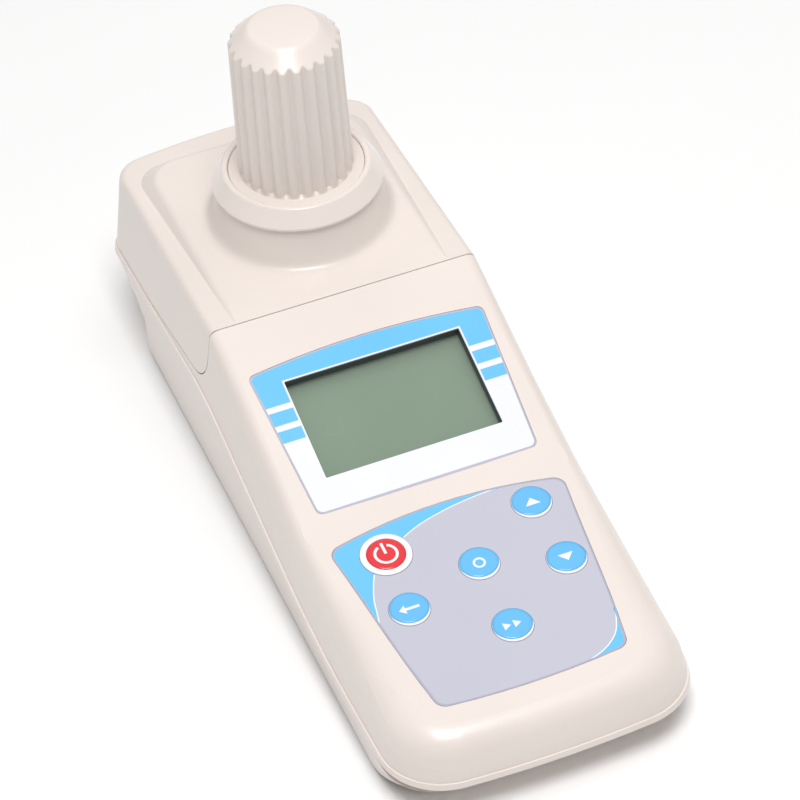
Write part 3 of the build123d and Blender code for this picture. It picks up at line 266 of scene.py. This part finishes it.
def close_set(loop, step):
    """A closed loop with points added so that no two neighbours are further apart than a step."""
    dense = []
    for a, b in zip(loop, loop[1:] + loop[:1]):
        count = max(1, math.ceil((b - a).length / step))
        dense.extend(a.lerp(b, i / count) for i in range(count))
    return dense


def round_point(centre, radius, angle):
    """The flat point at a distance from a centre, at an angle in radians."""
    return Vector((centre[0] + radius * math.cos(angle), centre[1] + radius * math.sin(angle)))


def circle_loop(x, along, radius, count=64):
    """A circle as a closed loop."""
    return [round_point((x, along), radius, 2 * math.pi * i / count) for i in range(count)]


def inside(point, loop):
    """Whether a flat point lies inside a closed loop."""
    found = False
    for a, b in zip(loop, loop[1:] + loop[:1]):
        if (a[1] > point[1]) != (b[1] > point[1]):
            if point[0] < (b[0] - a[0]) * (point[1] - a[1]) / (b[1] - a[1]) + a[0]:
                found = not found
    return found


def flat_faces(outer, holes=()):
    """Triangles that fill a loop but not its holes: points and index triples."""
    points, edges = [], []
    for loop in (outer, *holes):
        first = len(points)
        points.extend(Vector(p) for p in loop)
        edges.extend((first + i, first + (i + 1) % len(loop)) for i in range(len(loop)))
    verts, _, faces, *_ = delaunay_2d_cdt(points, edges, [], 0, MERGE_DISTANCE)
    kept = []
    for face in faces:
        centre = sum((verts[i] for i in face), Vector((0, 0))) / len(face)
        if inside(centre, outer) and not any(inside(centre, hole) for hole in holes):
            kept.append(face)
    return verts, kept


def millimetres(length):
    """A size held in metres by a property, in millimetres and free of its rounding."""
    return round(length / MM, 4)


def film(name, face, shapes, top, thickness, material, body="case"):
    """A thin film or print of one or more filled shapes on a face, its top at a height in millimetres."""
    mesh = bmesh.new()
    down = on_face(face, 0, 0, -thickness) - on_face(face, 0, 0, 0)
    for outer, holes in shapes:
        flat, faces = flat_faces(outer, holes)
        upper = [mesh.verts.new(on_face(face, p[0], p[1], top)) for p in flat]
        made = [mesh.faces.new([upper[i] for i in indices]) for indices in faces]
        spare = [v for v in upper if not v.link_faces]
        bmesh.ops.delete(mesh, geom=spare, context="VERTS")
        grown = bmesh.ops.extrude_face_region(mesh, geom=made, use_keep_orig=True)
        lower = [g for g in grown["geom"] if isinstance(g, bmesh.types.BMVert)]
        bmesh.ops.translate(mesh, verts=lower, vec=down)
    bmesh.ops.recalc_face_normals(mesh, faces=mesh.faces)
    return finish_piece(name, mesh, material, body)


def finish_piece(name, mesh, material, body, smooth=False):
    """Makes a piece from a bmesh, gives it its finish and lets it ride on its body."""
    data = bpy.data.meshes.new(name)
    mesh.to_mesh(data)
    mesh.free()
    data.materials.append(material)
    piece = bpy.data.objects.new(name, data)
    bpy.context.scene.collection.objects.link(piece)
    if smooth:
        data.shade_smooth()
    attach(piece, body)
    return piece


def bowed(left, right, along, rise, count):
    """Points of an arched edge between two corners, corners left out: sharp (x, along, radius) points."""
    points = []
    for step in range(1, count):
        share = 2 * step / count - 1
        points.append((left + (right - left) * step / count, along - rise * (1 - share * share), 0))
    return points


def label_loop(inset):
    """Outline of the label, drawn in by an inset."""
    start, end = LABEL_START + inset, LABEL_END - inset
    top, bottom = LABEL_TOP - inset, LABEL_BOTTOM - inset
    corner = LABEL_CORNER - inset * 0.5
    return rounded([(-top, start, corner), *bowed(-top, top, start, LABEL_ARCH, 24), (top, start, corner),
                    (bottom, end, corner), (-bottom, end, corner)])


def window_frame(inset):
    """The four corners of the window, drawn in by an inset."""
    half, start, end = WINDOW_HALF - inset, WINDOW_START + inset, WINDOW_END - inset
    return [(-half, start), (half, start), (half, end), (-half, end)]


def label_half(along, inset):
    """Half-width of the label at a distance down the face."""
    share = (along - LABEL_START) / (LABEL_END - LABEL_START)
    return LABEL_TOP + (LABEL_BOTTOM - LABEL_TOP) * share - inset


def overlay_loop(inset):
    """Outline of the keypad overlay, drawn in by an inset."""
    start, end = OVERLAY_START + inset, OVERLAY_END - inset
    top, bottom = OVERLAY_SIDE[0][0] - inset, OVERLAY_SIDE[-1][0] - inset
    corner = OVERLAY_CORNER - inset * 0.5
    right = [(x - inset, along, 0) for x, along in OVERLAY_SIDE[1:-1]]
    left = [(inset - x, along, 0) for x, along in OVERLAY_SIDE[-2:0:-1]]
    return rounded([(-top, start, corner), *bowed(-top, top, start, OVERLAY_ARCH, 24), (top, start, corner), *right,
                    (bottom, end, corner), *bowed(bottom, -bottom, end, -OVERLAY_BOW, 12), (-bottom, end, corner),
                    *left])


def swept(points, side, steps=5):
    """A smooth line through a few points, moved sideways by a distance."""
    line = []
    knots = [Vector(p) for p in points]
    knots = [2 * knots[0] - knots[1], *knots, 2 * knots[-1] - knots[-2]]
    for a, b, c, d in zip(knots, knots[1:], knots[2:], knots[3:]):
        for step in range(steps):
            t = step / steps
            line.append(0.5 * (2 * b + (c - a) * t + (2 * a - 5 * b + 4 * c - d) * t ** 2
                               + (3 * b - a - 3 * c + d) * t ** 3))
    line.append(knots[-2])
    beside = []
    for index, here in enumerate(line):
        run = (line[min(index + 1, len(line) - 1)] - line[max(index - 1, 0)]).normalized()
        beside.append(here + Vector((run.y, -run.x)) * side)
    return beside


def stretch(loop, start, end):
    """The part of a closed loop from the point nearest one place on to the point nearest another."""
    first = min(range(len(loop)), key=lambda i: (loop[i] - Vector(start)).length)
    last = min(range(len(loop)), key=lambda i: (loop[i] - Vector(end)).length)
    if last < first:
        last += len(loop)
    return [loop[i % len(loop)] for i in range(first, last + 1)]


def arc(centre, radius, start, end, steps=30):
    """Points of an arc between two angles in degrees."""
    return [round_point(centre, radius, math.radians(start + (end - start) * i / steps)) for i in range(steps + 1)]


def circle_gap(x, along, radius, width, gap):
    """A ring with a gap at its top, some degrees to each side, as one closed loop."""
    first, last = -90 + gap, 270 - gap
    outer = arc((x, along), radius, first, last, 48)
    inner = arc((x, along), radius - width, last, first, 48)
    return outer + inner


def bar(x, along, width, length):
    """A small upright bar on the keypad, from its middle."""
    half, reach = width / 2, length / 2
    return [Vector((x - half, along - reach)), Vector((x + half, along - reach)), Vector((x + half, along + reach)),
            Vector((x - half, along + reach))]


def moved(loop, place):
    """A loop drawn round the origin, moved to a place."""
    return [Vector(point) + Vector(place) for point in loop]


def turn_of(centre, point):
    """The angle in degrees at which a point is seen from a centre."""
    return math.degrees(math.atan2(point[1] - centre[1], point[0] - centre[0]))


def domed(name, centre, reach, edge, crown, material, body, rings=6, count=72):
    """A low dome on the keypad face: its outline is a radius for each angle, its edge and crown are heights."""
    mesh = bmesh.new()
    angles = [2 * math.pi * i / count for i in range(count)]

    def ring_at(share, height):
        flat = [round_point(centre, reach(angle) * share, angle) for angle in angles]
        return [mesh.verts.new(on_face("keypad", *point, height)) for point in flat]

    top = mesh.verts.new(on_face("keypad", *centre, crown))
    loops = [ring_at(ring / rings, crown + (edge - crown) * (ring / rings) ** 2) for ring in range(1, rings + 1)]
    loops.append(ring_at(1, KEY_PROUD))
    for i in range(count):
        j = (i + 1) % count
        mesh.faces.new((top, loops[0][j], loops[0][i]))
        for inner, outer in zip(loops, loops[1:]):
            mesh.faces.new((inner[i], inner[j], outer[j], outer[i]))
    mesh.faces.new(loops[-1])
    bmesh.ops.recalc_face_normals(mesh, faces=mesh.faces)
    piece = finish_piece(name, mesh, material, body)
    for polygon in piece.data.polygons:
        polygon.use_smooth = len(polygon.vertices) <= 4
    return piece


class UREA_PG_sizes(bpy.types.PropertyGroup):
    """Sizes that a user would change: none of them moves a joint or a fit."""

    flute_depth: bpy.props.FloatProperty(
        name="Flute depth", description="How far the flutes cut into the cap's barrel", subtype="DISTANCE",
        unit="LENGTH", min=0, max=2.0 * MM, default=FLUTE_DEPTH * MM)
    bare_edge: bpy.props.FloatProperty(
        name="Bare edge", description="Edge that the prints of the label and the keypad leave bare",
        subtype="DISTANCE", unit="LENGTH", min=0, max=1.0 * MM, default=EDGE_LINE * MM)
    white_line: bpy.props.FloatProperty(
        name="White line", description="Half the width of the white lines that sweep over the keypad",
        subtype="DISTANCE", unit="LENGTH", min=0, max=0.5 * MM, default=WHITE_LINE * MM)
    key_crest: bpy.props.FloatProperty(
        name="Key crest", description="Height of the coloured domes over the flat of the keys",
        subtype="DISTANCE", unit="LENGTH", min=0.05 * MM, max=0.4 * MM, default=DOME_CREST * MM)


class UREA_PG_colours(bpy.types.PropertyGroup):
    """Colours that a user would change."""

    case: bpy.props.FloatVectorProperty(
        name="Case", description="Ivory plastic of the case and cap", subtype="COLOR", size=4,
        min=0, max=1, default=linear((236, 226, 219)))
    label_blue: bpy.props.FloatVectorProperty(
        name="Label blue", description="Sky blue of the label and the keypad's corners", subtype="COLOR", size=4,
        min=0, max=1, default=linear((112, 198, 252)))
    field: bpy.props.FloatVectorProperty(
        name="Keypad field", description="Lavender grey round the keys", subtype="COLOR", size=4,
        min=0, max=1, default=linear((197, 197, 211)))
    key_blue: bpy.props.FloatVectorProperty(
        name="Key blue", description="Blue of the five marked keys", subtype="COLOR", size=4,
        min=0, max=1, default=linear((108, 192, 246)))
    power_red: bpy.props.FloatVectorProperty(
        name="Power red", description="Red disc of the power key", subtype="COLOR", size=4,
        min=0, max=1, default=linear((232, 60, 66)))
    display: bpy.props.FloatVectorProperty(
        name="Display", description="Liquid crystal at rest", subtype="COLOR", size=4,
        min=0, max=1, default=linear((97, 128, 96)))


class UREA_OT_stage(bpy.types.Operator):
    """Build the floor, the soft studio lights and the camera"""

    bl_idname = "urea.stage"
    bl_label = "Stage"

    def execute(self, context):
        mesh = bmesh.new()
        bmesh.ops.create_grid(mesh, x_segments=1, y_segments=1, size=FLOOR_REACH)
        data = bpy.data.meshes.new("floor")
        mesh.to_mesh(data)
        mesh.free()
        floor = bpy.data.objects.new("floor", data)
        context.scene.collection.objects.link(floor)
        data.materials.append(finish_material("pale_floor", linear((250, 250, 250)), 0.7, 0.005, 6.0, 0.0))
        context.scene.view_settings.view_transform = "Standard"
        world = context.scene.world or bpy.data.worlds.new("World")
        context.scene.world = world
        world.use_nodes = True
        background = world.node_tree.nodes["Background"]
        background.inputs["Color"].default_value = WORLD_COLOUR
        background.inputs["Strength"].default_value = WORLD_STRENGTH
        for name, place, size, power, glossy in LIGHTS:
            lamp = bpy.data.lights.new(name, "AREA")
            lamp.size = size
            lamp.energy = power
            light = bpy.data.objects.new(name, lamp)
            light.visible_glossy = glossy
            light.location = place
            light.rotation_euler = (Vector(place) - Vector(LIGHT_TARGET)).to_track_quat("Z", "Y").to_euler()
            context.scene.collection.objects.link(light)
        back = Vector(CAMERA_BACK).normalized()
        level = Vector((math.cos(CAMERA_AZIMUTH), math.sin(CAMERA_AZIMUTH), 0.0))
        upright = back.cross(level)
        across = level * math.cos(CAMERA_ROLL) + upright * math.sin(CAMERA_ROLL)
        upward = upright * math.cos(CAMERA_ROLL) - level * math.sin(CAMERA_ROLL)
        lens = bpy.data.cameras.new("photo_view")
        lens.lens = CAMERA_LENS
        lens.sensor_width = CAMERA_SENSOR
        lens.clip_start, lens.clip_end = CAMERA_CLIP
        camera = bpy.data.objects.new("photo_view", lens)
        turn = Matrix((across, upward, back)).transposed().to_4x4()
        camera.matrix_world = Matrix.Translation(CAMERA_EYE) @ turn
        context.scene.collection.objects.link(camera)
        context.scene.camera = camera
        return {"FINISHED"}


class UREA_OT_case(bpy.types.Operator):
    """Finish the moulded case, its hood, collar, cap, door and feet"""

    bl_idname = "urea.case"
    bl_label = "Case"

    def execute(self, context):
        colours = context.scene.urea_colours
        plastic = finish_material("ivory_plastic_case", tuple(colours.case), 0.34, 0.015, 30.0, 0.05, 2600.0, 0.03,
                                  Coat_Weight=0.3, Coat_Roughness=0.16)
        paint(("upper_shell", "hood", "cap", "lower_shell", "battery_door"), plastic)
        # Painted highlight: the collar's colour is the case's colour made lighter, standing in for the sheen on its
        # chamfer
        light = tuple(min(1.0, c * COLLAR_PAINTED_HIGHLIGHT) for c in colours.case[:3])
        collar = finish_material("collar_plastic_painted_highlight", light, 0.26, 0.015, 30.0, 0.04, 2600.0, 0.03,
                                 Coat_Weight=0.6, Coat_Roughness=0.14)
        foam = finish_material("seal_foam_black", linear((30, 30, 30)), 0.9, 0.2, 900.0, 0.4, 1800.0)
        rubber = finish_material("foot_rubber_grey", linear((60, 60, 62)), 0.8, 0.1, 300.0, 0.2, 1500.0)
        paint(("collar_ring",), collar)
        paint(("cap_seal",), foam)
        paint(("rubber_feet",), rubber)
        return {"FINISHED"}


class UREA_OT_cap(bpy.types.Operator):
    """Build the cap with soft flutes that run out under its cone and scoop out at its flange"""

    bl_idname = "urea.cap"
    bl_label = "Cap"

    @staticmethod
    def reach(z, angle, depth):
        """Radius of the fluted barrel and the cone at a height and an angle, for a depth of the flutes."""
        share = (z - CAP_FLANGE_TOP) / (CAP_CONE_Z - CAP_FLANGE_TOP)
        barrel = CAP_BASE_RADIUS + (CAP_TOP_RADIUS - CAP_BASE_RADIUS) * share
        cone = CAP_TOP_RADIUS - (z - CAP_CONE_Z) * (CAP_TOP_RADIUS - CAP_CROWN_RADIUS) / (CAP_TOP_Z - CAP_CONE_Z)
        wave = (0.5 + 0.5 * math.cos(CAP_FLUTES * angle)) ** FLUTE_NARROWING
        scoop = min(1.0, (z - CAP_FLANGE_TOP - FLUTE_FOOT) / FLUTE_SCOOP)
        return min(barrel - depth * wave * scoop, cone)

    @staticmethod
    def profile():
        """Heights and radii from the flange over the crown and back down the bore; None follows the flutes."""
        flange = [(CAP_FLANGE_Z, CAP_FLANGE_RADIUS - 0.15), (CAP_FLANGE_Z + 0.15, CAP_FLANGE_RADIUS),
                  (CAP_FLANGE_TOP - 0.25, CAP_FLANGE_RADIUS), (CAP_FLANGE_TOP - 0.07, CAP_FLANGE_RADIUS - 0.07),
                  (CAP_FLANGE_TOP, CAP_FLANGE_RADIUS - 0.25), (CAP_FLANGE_TOP, CAP_BASE_RADIUS + 0.25),
                  (CAP_FLANGE_TOP + 0.04, CAP_BASE_RADIUS + 0.08)]
        heights = [CAP_FLANGE_TOP + 0.14 * i for i in range(1, 11)]
        heights += [CAP_FLANGE_TOP + 2 + 3.2 * i for i in range(1, 12)]
        heights += [CAP_CONE_Z - 2.0 + 0.2 * i for i in range(20)]
        heights += [CAP_CONE_Z + 2.0 + (CAP_TOP_Z - CAP_CONE_Z - 2.6) * i / 4 for i in range(5)]
        barrel = [(z, None) for z in sorted(set(round(h, 3) for h in heights))]
        crown = [(CAP_TOP_Z - 0.3, CAP_CROWN_RADIUS + 0.12), (CAP_TOP_Z - 0.08, CAP_CROWN_RADIUS - 0.2),
                 (CAP_TOP_Z, CAP_CROWN_RADIUS - 0.7), (CAP_TOP_Z, CAP_CROWN_RADIUS * 0.5), (CAP_TOP_Z, 0.0)]
        bore = [(CAP_ROOF_Z, 0.0), (CAP_ROOF_Z, CAP_BORE[1] - 0.4), (CAP_ROOF_Z - 0.4, CAP_BORE[1]),
                (CAP_FLANGE_Z + 0.3, CAP_BORE[0]), (CAP_FLANGE_Z, CAP_BORE[0] + 0.3)]
        return flange + barrel + crown + bore

    def execute(self, context):
        depth = millimetres(context.scene.urea_sizes.flute_depth)
        mesh = bmesh.new()
        loops = []
        for z, radius in self.profile():
            if radius == 0.0:
                loops.append([mesh.verts.new(Vector((WELL_X, WELL_Y, z)) * MM)])
                continue
            loop = []
            for i in range(CAP_POINTS):
                angle = 2 * math.pi * i / CAP_POINTS
                distance = self.reach(z, angle, depth) if radius is None else radius
                x, y = round_point((WELL_X, WELL_Y), distance, angle)
                loop.append(mesh.verts.new(Vector((x, y, z)) * MM))
            loops.append(loop)
        for a, b in zip(loops, loops[1:] + loops[:1]):
            if len(a) == len(b) == 1:
                continue
            for i in range(CAP_POINTS):
                j = (i + 1) % CAP_POINTS
                if len(b) == 1:
                    mesh.faces.new((a[i], a[j], b[0]))
                elif len(a) == 1:
                    mesh.faces.new((a[0], b[j], b[i]))
                else:
                    mesh.faces.new((a[i], a[j], b[j], b[i]))
        bmesh.ops.recalc_face_normals(mesh, faces=mesh.faces)
        plastic = bpy.data.materials["ivory_plastic_case"]
        cap = finish_piece("cap_shell", mesh, plastic, "cap", smooth=True)
        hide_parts("cap")
        return {"FINISHED"}


class UREA_OT_label(bpy.types.Operator):
    """Print the label's stripes and finish the display behind its window"""

    bl_idname = "urea.label"
    bl_label = "Label and display"

    def execute(self, context):
        colours = context.scene.urea_colours
        edge = finish_material("label_edge", linear((190, 188, 205)), 0.35)
        white = finish_material("label_white", linear((240, 241, 250)), 0.3, 0.01)
        blue = finish_material("label_blue_ink", tuple(colours.label_blue), 0.3, 0.02)
        paint(("panel_label",), edge)
        bare = millimetres(context.scene.urea_sizes.bare_edge)
        outline = label_loop(bare)
        window = rounded([(x, along, WINDOW_CORNER) for x, along in window_frame(0)], 3)
        white_top = LABEL_WHITE - LABEL_DEPTH
        film("label_print_white", "display", [(outline, [window])], white_top, LABEL_WHITE, white)

        # The blue arch over the window runs down to the end of its band, then come the stripes at each side
        side, upper = WINDOW_HALF + WINDOW_BORDER, WINDOW_START - WINDOW_BORDER
        first = next(i for i, p in enumerate(outline) if p[1] >= BAND_END)
        rest = [p for p in outline[first:] if p[1] < BAND_END]
        reach = label_half(BAND_END, bare)
        shapes = [([(-reach, BAND_END), *rest, *outline[:first], (reach, BAND_END), (side, BAND_END), (side, upper),
                    (-side, upper), (-side, BAND_END)], ())]
        for start, end in STRIPES:
            for sign in (-1, 1):
                shapes.append(([(sign * side, start), (sign * label_half(start, bare), start),
                                (sign * label_half(end, bare), end), (sign * side, end)], ()))
        film("label_print_blue", "display", shapes, white_top + COLOUR_LAYER, COLOUR_LAYER, blue)

        # Painted shade: a dark lining down the window's walls, coloured like the shadow that falls there
        lining = finish_material("window_painted_shade", linear((62, 74, 74)), 0.5, 0.05)
        film("window_lining", "display", [(window_frame(0), [window_frame(LINING_WIDTH)])], LINING_TOP, LINING_DEPTH,
             lining)
        crystal = finish_material("liquid_crystal", tuple(colours.display), 0.25, 0.04, 45.0, 0.0)
        pane = finish_material("window_pane", (0.88, 0.93, 0.9), 0.07, 0.02, 30.0, 0.01, 900.0, 0.01, Alpha=0.1)
        paint(("display_glass",), crystal)
        paint(("display_window",), pane)
        return {"FINISHED"}


class UREA_OT_keypad(bpy.types.Operator):
    """Print the keypad overlay's field and corners"""

    bl_idname = "urea.keypad"
    bl_label = "Keypad print"

    def execute(self, context):
        colours = context.scene.urea_colours
        edge = finish_material("overlay_edge", linear((178, 178, 196)), 0.4, 0.01)
        white = finish_material("overlay_white", linear((246, 247, 252)), 0.35, 0.01)
        field = finish_material("overlay_field", tuple(colours.field), 0.38, 0.015, 18.0)
        blue = finish_material("overlay_blue_ink", tuple(colours.label_blue), 0.35, 0.02)
        paint(("keypad_overlay",), edge)
        sizes = context.scene.urea_sizes
        line = millimetres(sizes.white_line)
        outline = close_set(overlay_loop(millimetres(sizes.bare_edge)), OUTLINE_STEP)
        holes = [circle_loop(x, along, (POWER_RADIUS if name == "key_power" else KEY_RADIUS) + KEY_HOLE)
                 for name, (x, along) in KEYS.items()]
        film("overlay_print_white", "keypad", [(outline, holes)], OVERLAY_WHITE, OVERLAY_WHITE, white)
        power = KEYS["key_power"]
        ring = POWER_RADIUS + KEY_HOLE
        start, end = turn_of(power, TOP_SWEEP[-1]), turn_of(power, LEFT_SWEEP[0])
        corner = stretch(outline, LEFT_SWEEP[-1], TOP_SWEEP[0]) + swept(TOP_SWEEP, -line)
        corner += arc(power, ring, start, end - 360) + swept(LEFT_SWEEP, -line)
        low = stretch(outline, CORNER_SWEEP[0], CORNER_SWEEP[-1]) + swept(CORNER_SWEEP, line)[::-1]
        top = OVERLAY_WHITE + COLOUR_LAYER
        film("overlay_print_blue", "keypad", [(corner, ()), (low, ())], top, COLOUR_LAYER, blue)
        middle = stretch(outline, TOP_SWEEP[0], CORNER_SWEEP[0]) + swept(CORNER_SWEEP, -line)
        middle += stretch(outline, CORNER_SWEEP[-1], LEFT_SWEEP[-1]) + swept(LEFT_SWEEP, line)[::-1]
        middle += arc(power, ring, end, start) + swept(TOP_SWEEP, line)[::-1]
        film("overlay_print_field", "keypad", [(middle, holes[1:])], top, COLOUR_LAYER, field)
        return {"FINISHED"}


class UREA_OT_keys(bpy.types.Operator):
    """Set a coloured dome with a plain mark on each key"""

    bl_idname = "urea.keys"
    bl_label = "Keys"

    def execute(self, context):
        colours = context.scene.urea_colours
        white = finish_material("key_white", linear((245, 245, 250)), 0.25, 0.01)
        blue = finish_material("key_blue", tuple(colours.key_blue), 0.22, 0.02, Coat_Weight=0.4)
        red = finish_material("power_red", tuple(colours.power_red), 0.22, 0.02, Coat_Weight=0.4)
        paint(KEYS, white)
        edge, crest = KEY_PROUD + DOME_EDGE, KEY_PROUD + millimetres(context.scene.urea_sizes.key_crest)

        def crescent(angle):
            swing = KEY_RADIUS ** 2 - (DOME_SHIFT * math.cos(angle)) ** 2
            return min(KEY_RADIUS - DOME_MARGIN, math.sqrt(swing) - DOME_SHIFT * math.sin(angle))

        marks = {
            "key_upper_right": [([(-2.1, 1.2), (0.0, -1.2), (2.1, 1.2)], ())],
            "key_right": [([(-2.1, -1.2), (0.0, 1.2), (2.1, -1.2)], ())],
            "key_centre": [(circle_loop(0, 0, 1.7), [circle_loop(0, 0, 1.1)])],
            "key_lower_left": [([(-2.9, 0.0), (-1.1, -1.4), (-1.1, -0.4), (2.7, -0.4), (2.7, 0.4), (-1.1, 0.4),
                                 (-1.1, 1.4)], ())],
            "key_bottom": [([(-2.5, -1.2), (-0.5, 0.0), (-2.5, 1.2)], ()),
                           ([(0.3, -1.2), (2.3, 0.0), (0.3, 1.2)], ())],
        }
        for name, place in KEYS.items():
            x, along = place
            if name == "key_power":
                domed("power_dome", place, lambda angle: POWER_DOME_RADIUS, edge, crest, red,
                      name)
                ring = circle_gap(x, along, POWER_MARK_RADIUS, POWER_MARK_WIDTH, POWER_MARK_GAP)
                upright = bar(x, along - POWER_BAR_PLACE, POWER_MARK_WIDTH, POWER_BAR_LENGTH)
                film("power_mark", "keypad", [(ring, ()), (upright, ())], crest + POWER_MARK_PROUD, MARK_THICKNESS,
                     white, name)
                continue
            domed(name + "_dome", place, crescent, edge, crest, blue, name)
            shapes = [(moved(outer, place), [moved(hole, place) for hole in inner]) for outer, inner in marks[name]]
            film(name + "_mark", "keypad", shapes, crest + MARK_PROUD, MARK_THICKNESS, white, name)
        return {"FINISHED"}


class UREA_OT_inner(bpy.types.Operator):
    """Finish the display module, the boards, the optics, the battery bay and the screws"""

    bl_idname = "urea.inner"
    bl_label = "Inner parts"

    def execute(self, context):
        steel = finish_material("screw_steel_zinc", linear((196, 198, 200)), 0.32, 0.06, 400.0, 0.1, 3000.0,
                                Metallic=1.0)
        pressed = finish_material("dome_steel_pressed", linear((205, 205, 205)), 0.28, 0.05, 300.0, 0.1, 3000.0,
                                  Metallic=1.0)
        nickel = finish_material("contact_nickel", linear((205, 196, 168)), 0.3, 0.06, 300.0, 0.1, 3000.0,
                                 Metallic=1.0)
        laminate = finish_material("board_solder_mask", linear((32, 92, 58)), 0.38, 0.12, 160.0, 0.12, 1400.0)
        black = finish_material("black_moulding", linear((28, 28, 29)), 0.5, 0.15, 120.0, 0.15, 2200.0)
        sleeve = finish_material("cell_sleeve", linear((44, 46, 52)), 0.25, 0.1, 60.0, 0.02, 900.0, Coat_Weight=0.3)
        amber = finish_material("circuit_film_amber", linear((206, 150, 74)), 0.3, 0.06, 90.0)
        bezel = finish_material("bezel_black_steel", linear((70, 70, 72)), 0.4, 0.08, 200.0, 0.08, 2500.0,
                                Metallic=1.0)
        guide = finish_material("light_guide", linear((232, 236, 230)), 0.3, 0.02)
        epoxy = finish_material("lamp_epoxy", linear((224, 230, 240)), 0.1, 0.02, Transmission_Weight=0.7)
        clear = finish_material("lens_glass_clear", linear((240, 246, 248)), 0.04, 0.01, Transmission_Weight=0.95)
        tinted = finish_material("filter_glass_blue", linear((90, 120, 210)), 0.05, 0.03, Transmission_Weight=0.8)
        gold = finish_material("can_gold", linear((214, 190, 130)), 0.25, 0.05, 300.0, Metallic=1.0)
        paint(("case_screws", "board_screws", "display_screws", "block_screws", "optic_screws"), steel)
        paint(("key_domes",), pressed)
        paint(("contacts_front", "contacts_rear"), nickel)
        paint(("display_board", "main_board", "source_board", "detector_board"), laminate)
        paint(("board_chips", "buzzer", "well_block"), black)
        paint([f"battery_cell_{i}" for i in range(1, 5)], sleeve)
        paint(("keypad_circuit",), amber)
        paint(("display_bezel",), bezel)
        paint(("display_backlight",), guide)
        paint(("lamp",), epoxy)
        paint(("collimator_lens",), clear)
        paint(("colour_filter",), tinted)
        paint(("photodiode",), gold)
        return {"FINISHED"}


class UREA_PT_panel(bpy.types.Panel):
    """Lists the sizes, the colours and the builders of the tester"""

    bl_label = "Urea Tester"
    bl_idname = "UREA_PT_panel"
    bl_space_type = "VIEW_3D"
    bl_region_type = "UI"
    bl_category = "Urea Tester"

    def draw(self, context):
        layout = self.layout
        for group in (context.scene.urea_sizes, context.scene.urea_colours):
            for name in type(group).__annotations__:
                layout.prop(group, name)
        for operator in OPERATORS:
            layout.operator(operator.bl_idname)


OPERATORS = (UREA_OT_stage, UREA_OT_case, UREA_OT_cap, UREA_OT_label, UREA_OT_keypad, UREA_OT_keys, UREA_OT_inner)
CLASSES = (UREA_PG_sizes, UREA_PG_colours, *OPERATORS, UREA_PT_panel)


def register():
    """Adds the add-on's classes, its sizes and its colours."""
    for cls in CLASSES:
        bpy.utils.register_class(cls)
    bpy.types.Scene.urea_sizes = bpy.props.PointerProperty(type=UREA_PG_sizes)
    bpy.types.Scene.urea_colours = bpy.props.PointerProperty(type=UREA_PG_colours)


def unregister():
    """Takes the add-on's classes, its sizes and its colours away."""
    del bpy.types.Scene.urea_colours
    del bpy.types.Scene.urea_sizes
    for cls in reversed(CLASSES):
        bpy.utils.unregister_class(cls)


def main():
    """Builds the whole scene."""
    register()
    bpy.ops.urea.stage()
    bpy.ops.urea.case()
    bpy.ops.urea.cap()
    bpy.ops.urea.label()
    bpy.ops.urea.keypad()
    bpy.ops.urea.keys()
    bpy.ops.urea.inner()
    bpy.context.view_layer.update()


if __name__ == "__main__":
    main()
